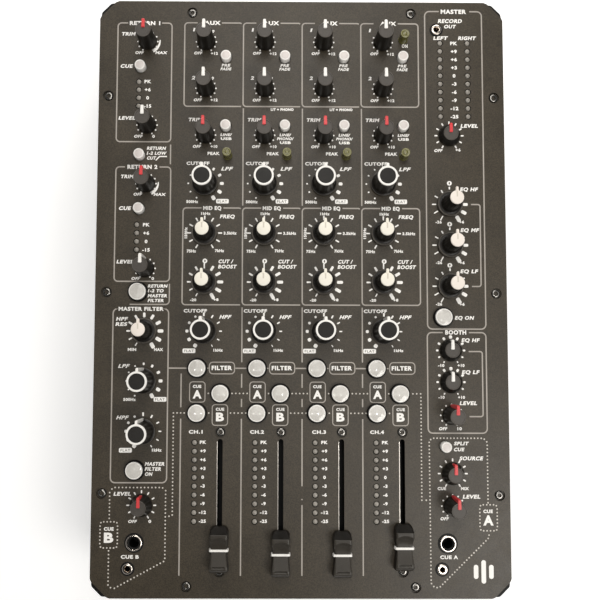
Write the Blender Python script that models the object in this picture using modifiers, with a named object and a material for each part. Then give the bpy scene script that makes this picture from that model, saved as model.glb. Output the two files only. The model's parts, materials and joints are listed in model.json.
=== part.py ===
"""A four-channel tabletop DJ mixer, built from the pieces that it is assembled from.

The frame: +X to the user's right, +Y towards the rear panel, +Z up. The origin is at the centre of the
footprint, on the surface that the mixer stands on. Every length below is in millimetres, and the functions
that make the meshes scale it by MM.
"""

import math

import bmesh
import bpy
from mathutils import Matrix, Vector

MM = 0.001
GAP = 0.3  # between pieces that touch

# Faceplate
PLATE_WIDTH = 275.0
PLATE_DEPTH = 400.0
PLATE_TOP = 80.0
PLATE_THICKNESS = 2.5
PLATE_CHAMFER = 11.5
PLATE_BOTTOM = PLATE_TOP - PLATE_THICKNESS

# Case
CASE_INSET = 0.3
CASE_CHAMFER = 7.5
CASE_WALL = 2.0
CASE_BOTTOM = 6.0
CASE_FLOOR = CASE_BOTTOM + CASE_WALL
CASE_TOP = PLATE_BOTTOM - GAP
FOOT_RADIUS = 11.0
FOOT_X = 115.0
FOOT_Y = 175.0
REAR_WINDOW_WIDTH = 250.0
REAR_WINDOW_BOTTOM = 10.0

# Channels
CHANNELS = 4
CHANNEL_PITCH = 40.0
KNOB_X = -64.9
CHANNEL_ROWS = {
    "aux_1": (171.6, "pointer_tall"),
    "aux_2": (139.2, "pointer_tall"),
    "trim": (106.9, "pointer_tall"),
    "low_pass": (73.7, "ring"),
    "mid_frequency": (40.0, "skirted"),
    "mid_gain": (7.0, "skirted"),
    "high_pass": (-25.9, "ring"),
}

# Knobs of the two outer columns: name, x, y and style
SIDE_KNOBS = (
    ("return_1_trim", -104.7, 171.6, "pointer_tall"),
    ("return_1_level", -104.5, 113.6, "pointer_tall"),
    ("return_2_trim", -104.6, 73.4, "pointer_tall"),
    ("return_2_level", -104.5, 16.0, "pointer_tall"),
    ("filter_resonance", -104.5, -25.9, "skirted_long"),
    ("master_low_pass", -104.4, -59.0, "ring_long"),
    ("master_high_pass", -104.3, -92.1, "ring_long"),
    ("cue_b_level", -104.6, -140.2, "pointer_mid"),
    ("master_level", 100.0, 107.1, "pointer_short"),
    ("master_high_eq", 99.8, 60.0, "skirted_long"),
    ("master_mid_eq", 99.8, 32.3, "skirted_long"),
    ("master_low_eq", 99.6, 4.6, "skirted_long"),
    ("booth_high_eq", 99.4, -38.3, "pointer_short"),
    ("booth_low_eq", 99.4, -59.3, "pointer_short"),
    ("booth_level", 99.5, -81.2, "pointer_tall"),
    ("cue_a_source", 99.8, -119.3, "pointer_low"),
    ("cue_a_level", 99.6, -140.4, "pointer_tall"),
)

# Knob styles: (top radius, bottom radius, skirt radius or None, height)
KNOB_STYLES = {
    "pointer_tall": (5.2, 6.3, None, 17.7),
    "pointer_mid": (5.2, 7.3, None, 11.4),
    "pointer_low": (5.2, 7.4, None, 9.5),
    "pointer_short": (5.2, 7.6, None, 6.2),
    "skirted": (4.9, 6.3, 8.5, 17.8),
    "skirted_long": (4.9, 6.3, 8.5, 20.8),
    "ring": (6.6, 7.4, 8.5, 21.3),
    "ring_long": (6.6, 7.4, 8.5, 22.5),
}
KNOB_SIDES = 10
KNOB_LIFT = 0.8  # between the faceplate and the underside of a knob
SKIRT_HEIGHT = 2.4
POINTER_WIDTH = 1.6
POINTER_DEPTH = 4.0
POINTER_RISE = 0.35
SPINDLE_RADIUS = 3.0
SPINDLE_HOLE_RADIUS = 3.8
SPINDLE_HOLE_SIDES = 8

# Faders
FADER_X = -53.3
FADER_REST_Y = (-167.7, -170.4, -170.7, -166.2)
SLOT_WIDTH = 3.6
SLOT_REAR = -97.0
SLOT_FRONT = -177.5
CAP_WIDTH = 12.6
CAP_LENGTH = 29.5
CAP_LIFT = 1.5
CAP_END_HEIGHT = 9.5
CAP_VALLEY_HEIGHT = 7.0
LEVER_WIDTH = 1.4
LEVER_LENGTH = 6.0

# Buttons: (cap radius, height of its top above the faceplate, hole radius)
LARGE_BUTTON = (5.65, 4.0, 6.5)
SMALL_BUTTON = (3.6, 4.4, 4.1)
BUTTON_SIDES = 12
BUTTON_PITCH = 39.6
SMALL_COLUMN_X = -51.3
LEFT_BUTTON_COLUMN = -68.9
RIGHT_BUTTON_COLUMN = -53.5
# Rows across the channels: name, x of channel 1, pitch, y and kind
BUTTON_ROWS = (
    ("pre_fade_buttons", SMALL_COLUMN_X, CHANNEL_PITCH, 160.8, SMALL_BUTTON),
    ("input_select_buttons", SMALL_COLUMN_X, CHANNEL_PITCH, 113.0, SMALL_BUTTON),
    ("filter_buttons", LEFT_BUTTON_COLUMN, BUTTON_PITCH, -50.5, LARGE_BUTTON),
    ("cue_a_buttons", RIGHT_BUTTON_COLUMN, BUTTON_PITCH, -67.1, LARGE_BUTTON),
    ("cue_b_buttons", LEFT_BUTTON_COLUMN, BUTTON_PITCH, -80.0, LARGE_BUTTON),
)
# Columns at the sides: name, x of the linking web, and each button's x, y and kind
BUTTON_COLUMNS = (
    (
        "left_column_buttons",
        -110.3,
        (
            (-109.3, 153.9, SMALL_BUTTON),
            (-109.2, 93.0, SMALL_BUTTON),
            (-109.0, 56.3, SMALL_BUTTON),
            (-108.9, 0.3, LARGE_BUTTON),
            (-109.3, -117.4, LARGE_BUTTON),
        ),
    ),
    (
        "right_column_buttons",
        93.5,
        ((94.6, -16.2, LARGE_BUTTON), (95.2, -101.8, SMALL_BUTTON)),
    ),
)
WEB_BOTTOM = 70.4
WEB_HEIGHT = 2.0
WEB_WIDTH = 3.6
WEB_END = 2.0  # past the middle of the last button
STEM_SIDE = 3.2
BUTTON_CAP_BOTTOM = 74.4

# Sockets in the faceplate: (x, y, outer radius, bore radius)
PHONES_SOCKET = (5.4, 3.25)
MINI_SOCKET = (3.5, 1.8)
TOP_SOCKETS = (
    (-109.0, -164.3, *PHONES_SOCKET),
    (96.0, -164.6, *PHONES_SOCKET),
    (-113.0, -181.0, *MINI_SOCKET),
    (92.2, -181.2, *MINI_SOCKET),
    (92.0, 180.6, *MINI_SOCKET),
)
SOCKET_SIDES = 12
SOCKET_RISE = 1.4
SOCKET_BOTTOM = 62.0
SOCKET_FLOOR = 1.5

# Control board, with its potentiometers, switches and fader tracks
BOARD_BOTTOM = 56.0
BOARD_THICKNESS = 1.6
BOARD_X = 130.0
BOARD_FRONT = -192.0
BOARD_REAR = 180.0
POT_SIDE = 9.5
POT_TOP = 68.5
SWITCH_SIDE = 7.0
SWITCH_TOP = 68.2
TRACK_WIDTH = 9.0
TRACK_FRONT = -188.0
TRACK_REAR = -88.0
TRACK_TOP = 70.0
TRACK_SLOT_WIDTH = 3.4
TRACK_SLOT_BOTTOM = 60.0
LEVER_BOTTOM = TRACK_SLOT_BOTTOM + 0.6

# Rear panel, set in from the rear edge of the faceplate
PANEL_FACE = 188.0
PANEL_THICKNESS = 2.0
PANEL_X = 134.8
JACK_GRID_X = (-114.0, -98.0, -82.0)
JACK_GRID_Z = (48.0, 32.0, 16.0)
JACK_OUTER_RADIUS = 5.6
JACK_BORE_RADIUS = 3.25
PHONO_X = (-59.0, -45.0, -25.0, -11.0, 11.0, 25.0, 45.0, 59.0)
PHONO_Z = (46.0, 24.0)
PHONO_RADIUS = 4.2
XLR_X = (84.0, 111.0)
XLR_Z = 43.0
XLR_OUTER_RADIUS = 11.5
XLR_BORE_RADIUS = 9.2
INLET_X = 106.0
INLET_Z = 20.0
INLET_OUTER = (30.0, 21.0)
INLET_INNER = (24.0, 15.0)
ROCKER_X = 78.0
ROCKER_SIZE = (13.0, 19.0)


def clear_scene():
    for obj in list(bpy.data.objects):
        bpy.data.objects.remove(obj, do_unlink=True)


def new_collection(name):
    collection = bpy.data.collections.new(name)
    bpy.context.scene.collection.children.link(collection)
    return collection


def new_material(name, color, roughness, metallic=0.0):
    material = bpy.data.materials.new(name)
    material.use_nodes = True
    shader = material.node_tree.nodes["Principled BSDF"]
    shader.inputs["Base Color"].default_value = (*color, 1.0)
    shader.inputs["Roughness"].default_value = roughness
    shader.inputs["Metallic"].default_value = metallic
    return material


def place(mesh, name, location, material, collection):
    """Puts a mesh, whose points are relative to location, into the scene as an object."""
    obj = bpy.data.objects.new(name, mesh)
    obj.location = Vector(location) * MM
    if material and not mesh.materials:
        mesh.materials.append(material)
    collection.objects.link(obj)
    return obj


def mesh_of(bm, name):
    """The finished bmesh as a mesh in metres."""
    bmesh.ops.scale(bm, vec=(MM, MM, MM), verts=bm.verts)
    mesh = bpy.data.meshes.new(name)
    bm.to_mesh(mesh)
    bm.free()
    return mesh


def add_box(bm, low, high):
    low, high = Vector(low), Vector(high)
    transform = Matrix.Translation((low + high) / 2) @ Matrix.Diagonal((*(high - low), 1))
    bmesh.ops.create_cube(bm, size=1.0, matrix=transform)


def add_cylinder(bm, radius, base, length, sides, axis="Z"):
    """A closed cylinder that runs from base for length along +Z, or along +Y."""
    turn = Matrix.Identity(4) if axis == "Z" else Matrix.Rotation(-math.pi / 2, 4, "X")
    transform = Matrix.Translation(base) @ turn @ Matrix.Translation((0, 0, length / 2))
    bmesh.ops.create_cone(
        bm, cap_ends=True, segments=sides, radius1=radius, radius2=radius, depth=length, matrix=transform
    )


def chamfered(width, depth, chamfer):
    """A rectangle about the origin with its corners cut off at 45 degrees."""
    x, y = width / 2, depth / 2
    corners = []
    for sx, sy in ((1, 1), (-1, 1), (-1, -1), (1, -1)):
        pair = [(sx * x, sy * (y - chamfer)), (sx * (x - chamfer), sy * y)]
        corners += pair if sx == sy else pair[::-1]
    return corners


def extruded(outlines, thickness, name):
    """A flat solid about z = 0 from a closed outline and the outlines of its holes."""
    curve = bpy.data.curves.new(name, "CURVE")
    curve.dimensions = "2D"
    curve.fill_mode = "BOTH"
    curve.extrude = thickness / 2 * MM
    for outline in outlines:
        spline = curve.splines.new("POLY")
        spline.points.add(len(outline) - 1)
        for point, (x, y) in zip(spline.points, outline):
            point.co = (x * MM, y * MM, 0.0, 1.0)
        spline.use_cyclic_u = True
    obj = bpy.data.objects.new(name, curve)
    bpy.context.scene.collection.objects.link(obj)
    mesh = baked(obj, name)
    bpy.data.objects.remove(obj)
    return mesh


def baked(obj, name):
    """The object's evaluated shape as a mesh of its own, with its seams welded."""
    graph = bpy.context.evaluated_depsgraph_get()
    mesh = bpy.data.meshes.new_from_object(obj.evaluated_get(graph))
    mesh.name = name
    bm = bmesh.new()
    bm.from_mesh(mesh)
    bmesh.ops.remove_doubles(bm, verts=bm.verts, dist=1e-6)
    bmesh.ops.recalc_face_normals(bm, faces=bm.faces)
    bm.to_mesh(mesh)
    bm.free()
    mesh.materials.clear()
    return mesh


def combine(obj, operation, tool):
    modifier = obj.modifiers.new(f"{operation.lower()}_{tool.name}", "BOOLEAN")
    modifier.operation = operation
    modifier.solver = "EXACT"
    modifier.object = tool


def shade_round(mesh, angle=35.0):
    mesh.shade_smooth()
    mesh.set_sharp_from_angle(angle=math.radians(angle))


def as_tool(mesh, name, collection, location=(0, 0, 0)):
    """A cutter, or a shape to be joined: it shapes another object and isn't one of the pieces."""
    obj = place(mesh, name, location, None, collection)
    obj.hide_render = True
    obj.display_type = "WIRE"
    return obj


def make_materials():
    return {
        "powder_coat": new_material("powder_coat", (0.085, 0.078, 0.070), 0.55, 0.2),
        "case_paint": new_material("case_paint", (0.020, 0.019, 0.018), 0.5, 0.2),
        "panel_paint": new_material("panel_paint", (0.025, 0.024, 0.023), 0.5, 0.2),
        "board": new_material("board", (0.02, 0.10, 0.04), 0.6),
        "knob": new_material("knob", (0.030, 0.028, 0.026), 0.5),
        "fader": new_material("fader", (0.035, 0.033, 0.030), 0.45),
        "button": new_material("button", (0.72, 0.69, 0.65), 0.35),
    }


# --- Where the controls are -------------------------------------------------


def knob_places():
    """Every knob's name, x, y and style."""
    found = []
    for channel in range(CHANNELS):
        x = KNOB_X + CHANNEL_PITCH * channel
        for row, (y, style) in CHANNEL_ROWS.items():
            found.append((f"ch{channel + 1}_{row}", x, y, style))
    return found + list(SIDE_KNOBS)


def button_places():
    """Every group of buttons: its name, the box of its linking web in plan, and its buttons."""
    groups = []
    for name, first_x, pitch, y, kind in BUTTON_ROWS:
        buttons = [(first_x + pitch * i, y, kind) for i in range(CHANNELS)]
        last_x = buttons[-1][0]
        web = (first_x - WEB_END, y - WEB_WIDTH / 2, last_x + WEB_END, y + WEB_WIDTH / 2)
        groups.append((name, web, buttons))
    for name, web_x, buttons in BUTTON_COLUMNS:
        ys = [y for _, y, _ in buttons]
        web = (web_x - WEB_WIDTH / 2, min(ys) - WEB_END, web_x + WEB_WIDTH / 2, max(ys) + WEB_END)
        groups.append((name, web, buttons))
    return groups


def fader_xs():
    return [FADER_X + CHANNEL_PITCH * i for i in range(CHANNELS)]


# --- Knobs --------------------------------------------------------------------


def knob_profile(style):
    """The turned outline of a knob and its spindle, from the top down, about the faceplate's top."""
    top_radius, bottom_radius, skirt_radius, height = KNOB_STYLES[style]
    base = KNOB_LIFT
    points = [(0.0, height), (top_radius, height)]
    if skirt_radius:
        skirt_top = base + SKIRT_HEIGHT
        points += [(bottom_radius, skirt_top), (skirt_radius, skirt_top - 0.8), (skirt_radius, base)]
    else:
        points.append((bottom_radius, base))
    spindle_end = POT_TOP + GAP - PLATE_TOP
    points += [(SPINDLE_RADIUS, base), (SPINDLE_RADIUS, spindle_end), (0.0, spindle_end)]
    return points


def turned(profile, sides, name, collection):
    """A solid of revolution about Z from an outline that runs down its outer side."""
    bm = bmesh.new()
    verts = [bm.verts.new((r, 0.0, z)) for r, z in profile]
    for a, b in zip(verts, verts[1:]):
        bm.edges.new((a, b))
    obj = place(mesh_of(bm, name), name, (0, 0, 0), None, collection)
    screw = obj.modifiers.new("turn", "SCREW")
    screw.steps = sides
    screw.render_steps = sides
    screw.use_merge_vertices = True
    screw.merge_threshold = 1e-5
    return obj


def knob_mesh(style, tools):
    """One knob with its spindle and raised pointer, to be shared by every knob of the style."""
    top_radius, _, skirt_radius, height = KNOB_STYLES[style]
    body = turned(knob_profile(style), KNOB_SIDES, f"{style}_turning", tools)
    inner = top_radius - 0.8 if skirt_radius else 0.8
    bm = bmesh.new()
    half = POINTER_WIDTH / 2
    low = (-half, inner, height - POINTER_DEPTH)
    add_box(bm, low, (half, top_radius + 1.2, height + POINTER_RISE))
    pointer = as_tool(mesh_of(bm, f"{style}_pointer"), f"{style}_pointer", tools)
    combine(body, "UNION", pointer)
    mesh = baked(body, f"{style}_knob")
    bpy.data.objects.remove(body)
    bpy.data.objects.remove(pointer)
    shade_round(mesh)
    return mesh


def make_knobs(materials, parts, tools):
    meshes = {style: knob_mesh(style, tools) for style in KNOB_STYLES}
    for name, x, y, style in knob_places():
        place(meshes[style], f"{name}_knob", (x, y, PLATE_TOP), materials["knob"], parts)


# --- Faders -------------------------------------------------------------------


def cap_outline():
    """A fader cap from the side: y and height, with raised ends and a finger hollow between them."""
    half = CAP_LENGTH / 2
    ends, valley = CAP_END_HEIGHT, CAP_VALLEY_HEIGHT
    hollow = []
    for i in range(9):
        y = half * 0.62 * (1 - i / 4)
        hollow.append((y, valley + (ends - valley) * (y / (half * 0.62)) ** 2))
    return [(-half, 0.0), (half, 0.0), (half * 0.93, ends * 0.8), (half * 0.80, ends)] + hollow + [
        (-half * 0.80, ends),
        (-half * 0.93, ends * 0.8),
    ]


def fader_mesh(tools):
    """The cap with its lever, about the faceplate's top."""
    cap = extruded([cap_outline()], CAP_WIDTH, "fader")
    upright = Matrix.Rotation(math.pi / 2, 4, "Z") @ Matrix.Rotation(math.pi / 2, 4, "X")
    cap.transform(Matrix.Translation((0, 0, CAP_LIFT * MM)) @ upright)
    body = place(cap, "fader_cap_shape", (0, 0, 0), None, tools)
    bm = bmesh.new()
    half_x, half_y = LEVER_WIDTH / 2, LEVER_LENGTH / 2
    low = (-half_x, -half_y, LEVER_BOTTOM - PLATE_TOP)
    add_box(bm, low, (half_x, half_y, CAP_LIFT + CAP_VALLEY_HEIGHT / 2))
    lever = as_tool(mesh_of(bm, "fader_lever_shape"), "fader_lever_shape", tools)
    combine(body, "UNION", lever)
    mesh = baked(body, "fader")
    bpy.data.objects.remove(body)
    bpy.data.objects.remove(lever)
    return mesh


def make_faders(materials, parts, tools):
    mesh = fader_mesh(tools)
    for i, (x, y) in enumerate(zip(fader_xs(), FADER_REST_Y)):
        place(mesh, f"ch{i + 1}_fader", (x, y, PLATE_TOP), materials["fader"], parts)


# --- Buttons ------------------------------------------------------------------


def make_buttons(materials, parts, tools):
    """Each row or column of push buttons, with stems down to the web under the faceplate that joins them."""
    web_top = WEB_BOTTOM + WEB_HEIGHT
    stem_bottom = WEB_BOTTOM + GAP
    for name, (x0, y0, x1, y1), buttons in button_places():
        origin = Vector((buttons[0][0], buttons[0][1], PLATE_TOP))
        bm = bmesh.new()
        add_box(bm, Vector((x0, y0, WEB_BOTTOM)) - origin, Vector((x1, y1, web_top)) - origin)
        web = place(mesh_of(bm, name), name, origin, materials["button"], parts)
        stems, caps = bmesh.new(), bmesh.new()
        for x, y, (radius, rise, _) in buttons:
            # A stem stands on the middle of the web, which in a column isn't under the middle of the caps
            if x1 - x0 < y1 - y0:
                middle = Vector(((x0 + x1) / 2, y, 0))
            else:
                middle = Vector((x, (y0 + y1) / 2, 0))
            half = Vector((STEM_SIDE / 2, STEM_SIDE / 2, 0))
            low = middle - half + Vector((0, 0, stem_bottom))
            high = middle + half + Vector((0, 0, BUTTON_CAP_BOTTOM + GAP))
            add_box(stems, low - origin, high - origin)
            base = Vector((x, y, BUTTON_CAP_BOTTOM)) - origin
            add_cylinder(caps, radius, base, PLATE_TOP + rise - BUTTON_CAP_BOTTOM, BUTTON_SIDES)
        for kind, bm in (("stems", stems), ("caps", caps)):
            tool = as_tool(mesh_of(bm, f"{name}_{kind}"), f"{name}_{kind}", tools, origin)
            combine(web, "UNION", tool)


# --- Faceplate ----------------------------------------------------------------


def make_faceplate(materials, parts, tools):
    """The plate with a hole for each spindle and button, a slot for each fader, and the front sockets."""
    outline = chamfered(PLATE_WIDTH, PLATE_DEPTH, PLATE_CHAMFER)
    mesh = extruded([outline], PLATE_THICKNESS, "faceplate")
    middle = PLATE_TOP - PLATE_THICKNESS / 2
    plate = place(mesh, "faceplate", (0, 0, middle), materials["powder_coat"], parts)
    below, depth = PLATE_BOTTOM - 2, PLATE_THICKNESS + 4
    holes = bmesh.new()
    for _, x, y, _ in knob_places():
        add_cylinder(holes, SPINDLE_HOLE_RADIUS, (x, y, below), depth, SPINDLE_HOLE_SIDES)
    for _, _, buttons in button_places():
        for x, y, (_, _, radius) in buttons:
            add_cylinder(holes, radius, (x, y, below), depth, BUTTON_SIDES)
    for x in fader_xs():
        low = (x - SLOT_WIDTH / 2, SLOT_FRONT, below)
        add_box(holes, low, (x + SLOT_WIDTH / 2, SLOT_REAR, below + depth))
    combine(plate, "DIFFERENCE", as_tool(mesh_of(holes, "plate_holes"), "plate_holes", tools))
    sockets, bores = bmesh.new(), bmesh.new()
    for x, y, outer, bore in TOP_SOCKETS:
        length = PLATE_TOP + SOCKET_RISE - SOCKET_BOTTOM
        add_cylinder(sockets, outer, (x, y, SOCKET_BOTTOM), length, SOCKET_SIDES)
        add_cylinder(bores, bore, (x, y, SOCKET_BOTTOM + SOCKET_FLOOR), length, SOCKET_SIDES)
    combine(plate, "UNION", as_tool(mesh_of(sockets, "front_sockets"), "front_sockets", tools))
    combine(plate, "DIFFERENCE", as_tool(mesh_of(bores, "front_bores"), "front_bores", tools))


# --- Case ---------------------------------------------------------------------


def make_case(materials, parts, tools):
    """The folded metal tub, open at the top and rear, with the four foot bosses under it."""
    width, depth = PLATE_WIDTH - 2 * CASE_INSET, PLATE_DEPTH - 2 * CASE_INSET
    height = CASE_TOP - CASE_BOTTOM
    shell = extruded([chamfered(width, depth, CASE_CHAMFER)], height, "case_shell")
    middle = CASE_BOTTOM + height / 2
    case = place(shell, "case_shell", (0, 0, middle), materials["case_paint"], parts)
    inner = chamfered(width - 2 * CASE_WALL, depth - 2 * CASE_WALL, CASE_CHAMFER - CASE_WALL / 2)
    pocket = extruded([inner], height, "case_pocket")
    tool = as_tool(pocket, "case_pocket", tools, (0, 0, middle + CASE_WALL))
    combine(case, "DIFFERENCE", tool)
    bm = bmesh.new()
    half = REAR_WINDOW_WIDTH / 2
    low = (-half, PLATE_DEPTH / 2 - 2 * CASE_WALL - 1, REAR_WINDOW_BOTTOM)
    add_box(bm, low, (half, PLATE_DEPTH / 2 + 5, CASE_TOP + 5))
    combine(case, "DIFFERENCE", as_tool(mesh_of(bm, "rear_window"), "rear_window", tools))
    bm = bmesh.new()
    for x in (-FOOT_X, FOOT_X):
        for y in (-FOOT_Y, FOOT_Y):
            add_cylinder(bm, FOOT_RADIUS, (x, y, 0.0), CASE_BOTTOM + CASE_WALL / 2, 20)
    combine(case, "UNION", as_tool(mesh_of(bm, "foot_bosses"), "foot_bosses", tools))


# --- Rear panel ---------------------------------------------------------------


def rear_connectors():
    """The connectors as one set of outer shapes and one set of cavities."""
    outer, inner = bmesh.new(), bmesh.new()
    for x in JACK_GRID_X:
        for z in JACK_GRID_Z:
            add_cylinder(outer, JACK_OUTER_RADIUS, (x, PANEL_FACE - 22, z), 24, SOCKET_SIDES, "Y")
            add_cylinder(inner, JACK_BORE_RADIUS, (x, PANEL_FACE - 20, z), 30, SOCKET_SIDES, "Y")
    for x in PHONO_X:
        for z in PHONO_Z:
            add_cylinder(outer, PHONO_RADIUS, (x, PANEL_FACE - 8, z), 16, 8, "Y")
    for x in XLR_X:
        add_cylinder(outer, XLR_OUTER_RADIUS, (x, PANEL_FACE - 18, XLR_Z), 20, 16, "Y")
        add_cylinder(inner, XLR_BORE_RADIUS, (x, PANEL_FACE - 16, XLR_Z), 30, 16, "Y")
    for bm, (width, height), front, rear in (
        (outer, INLET_OUTER, PANEL_FACE - 22, PANEL_FACE + 1.5),
        (inner, INLET_INNER, PANEL_FACE - 20, PANEL_FACE + 10),
    ):
        low = (INLET_X - width / 2, front, INLET_Z - height / 2)
        add_box(bm, low, (INLET_X + width / 2, rear, INLET_Z + height / 2))
    width, height = ROCKER_SIZE
    low = (ROCKER_X - width / 2, PANEL_FACE - 14, INLET_Z - height / 2)
    add_box(outer, low, (ROCKER_X + width / 2, PANEL_FACE + 3, INLET_Z + height / 2))
    return outer, inner


def make_rear_panel(materials, parts, tools):
    bm = bmesh.new()
    low = (-PANEL_X, PANEL_FACE - PANEL_THICKNESS, CASE_FLOOR + GAP)
    add_box(bm, low, (PANEL_X, PANEL_FACE, CASE_TOP))
    panel = place(mesh_of(bm, "rear_panel"), "rear_panel", (0, 0, 0), materials["panel_paint"], parts)
    outer, inner = rear_connectors()
    combine(panel, "UNION", as_tool(mesh_of(outer, "connectors"), "connectors", tools))
    combine(panel, "DIFFERENCE", as_tool(mesh_of(inner, "cavities"), "cavities", tools))


# --- Control board ------------------------------------------------------------


def make_control_board(materials, parts, tools):
    """The board under the faceplate, with the body of every pot, switch and fader track on it."""
    board_top = BOARD_BOTTOM + BOARD_THICKNESS
    bm = bmesh.new()
    add_box(bm, (-BOARD_X, BOARD_FRONT, BOARD_BOTTOM), (BOARD_X, BOARD_REAR, board_top))
    board = place(mesh_of(bm, "control_board"), "control_board", (0, 0, 0), materials["board"], parts)
    sunk = board_top - BOARD_THICKNESS / 2
    bodies = [(x, y, POT_SIDE, POT_SIDE, POT_TOP) for _, x, y, _ in knob_places()]
    for _, _, buttons in button_places():
        bodies += [(x, y, SWITCH_SIDE, SWITCH_SIDE, SWITCH_TOP) for x, y, _ in buttons]
    track_y = (TRACK_FRONT + TRACK_REAR) / 2
    bodies += [(x, track_y, TRACK_WIDTH, TRACK_REAR - TRACK_FRONT, TRACK_TOP) for x in fader_xs()]
    bm = bmesh.new()
    for x, y, width, depth, top in bodies:
        add_box(bm, (x - width / 2, y - depth / 2, sunk), (x + width / 2, y + depth / 2, top))
    combine(board, "UNION", as_tool(mesh_of(bm, "component_bodies"), "component_bodies", tools))
    bm = bmesh.new()
    for x in fader_xs():
        low = (x - TRACK_SLOT_WIDTH / 2, SLOT_FRONT - 2, TRACK_SLOT_BOTTOM)
        add_box(bm, low, (x + TRACK_SLOT_WIDTH / 2, SLOT_REAR + 2, TRACK_TOP + 5))
    combine(board, "DIFFERENCE", as_tool(mesh_of(bm, "track_slots"), "track_slots", tools))


def main():
    clear_scene()
    parts = new_collection("dj_mixer")
    tools = new_collection("cutters")
    materials = make_materials()
    make_case(materials, parts, tools)
    make_rear_panel(materials, parts, tools)
    make_control_board(materials, parts, tools)
    make_faceplate(materials, parts, tools)
    make_buttons(materials, parts, tools)
    make_faders(materials, parts, tools)
    make_knobs(materials, parts, tools)


main()
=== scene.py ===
"""A four-channel DJ mixer with rotary tone controls and long faders, on a pale studio floor.

Sizes and places are in millimetres in the part's own frame, and become metres when a mesh is made.
"""

import json
import math

import bmesh
import bpy
from mathutils import Matrix, Vector

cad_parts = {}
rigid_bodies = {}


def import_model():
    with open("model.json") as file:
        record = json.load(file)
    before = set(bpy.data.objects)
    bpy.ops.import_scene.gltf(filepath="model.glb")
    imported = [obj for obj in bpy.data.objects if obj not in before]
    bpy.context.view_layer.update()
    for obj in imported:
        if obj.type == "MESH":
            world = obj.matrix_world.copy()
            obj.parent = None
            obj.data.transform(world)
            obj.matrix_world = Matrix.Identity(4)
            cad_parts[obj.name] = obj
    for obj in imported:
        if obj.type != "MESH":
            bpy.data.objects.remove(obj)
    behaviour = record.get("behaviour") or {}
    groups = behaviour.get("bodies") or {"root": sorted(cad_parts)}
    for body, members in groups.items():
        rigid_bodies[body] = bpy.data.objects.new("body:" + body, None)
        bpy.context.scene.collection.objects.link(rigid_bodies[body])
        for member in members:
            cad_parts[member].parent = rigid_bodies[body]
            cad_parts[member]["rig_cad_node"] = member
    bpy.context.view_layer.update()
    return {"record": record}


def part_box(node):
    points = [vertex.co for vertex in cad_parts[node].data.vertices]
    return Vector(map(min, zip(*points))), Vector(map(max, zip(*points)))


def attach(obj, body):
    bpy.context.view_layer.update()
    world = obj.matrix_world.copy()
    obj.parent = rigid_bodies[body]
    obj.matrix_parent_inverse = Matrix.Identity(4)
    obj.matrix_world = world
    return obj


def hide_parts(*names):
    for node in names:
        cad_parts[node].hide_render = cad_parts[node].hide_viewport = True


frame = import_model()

MM = 0.001
BASE = "mixer_base"
PLATE_X, PLATE_Y = (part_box("faceplate")[1][axis] / MM for axis in (0, 1))
CASE_HIGH = Vector(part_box("case_shell")[1]) / MM
# The faceplate's box also holds its sockets, so the heights of the plate's own faces are given here
PLATE_TOP = 80.0
PLATE_BOTTOM = 77.5
PLATE_CHAMFER = 11.5
CASE_CHAMFER = 6.7
CORNER_SOFTNESS = 1.2
CASE_BOTTOM = 6.0
CASE_WALL = 2.0
FOOT_X, FOOT_Y = 115, 175
KNOB_LIFT = 0.8
SPINDLE_DEPTH = 8.0
PANEL_FACE = 188.0
CHANNELS = 4
CHANNEL_PITCH = 40.0

# ---------------------------------------------------------------- materials


def socket_names(node, **values):
    for name, value in values.items():
        node.inputs[name.replace("_", " ")].default_value = value


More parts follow.
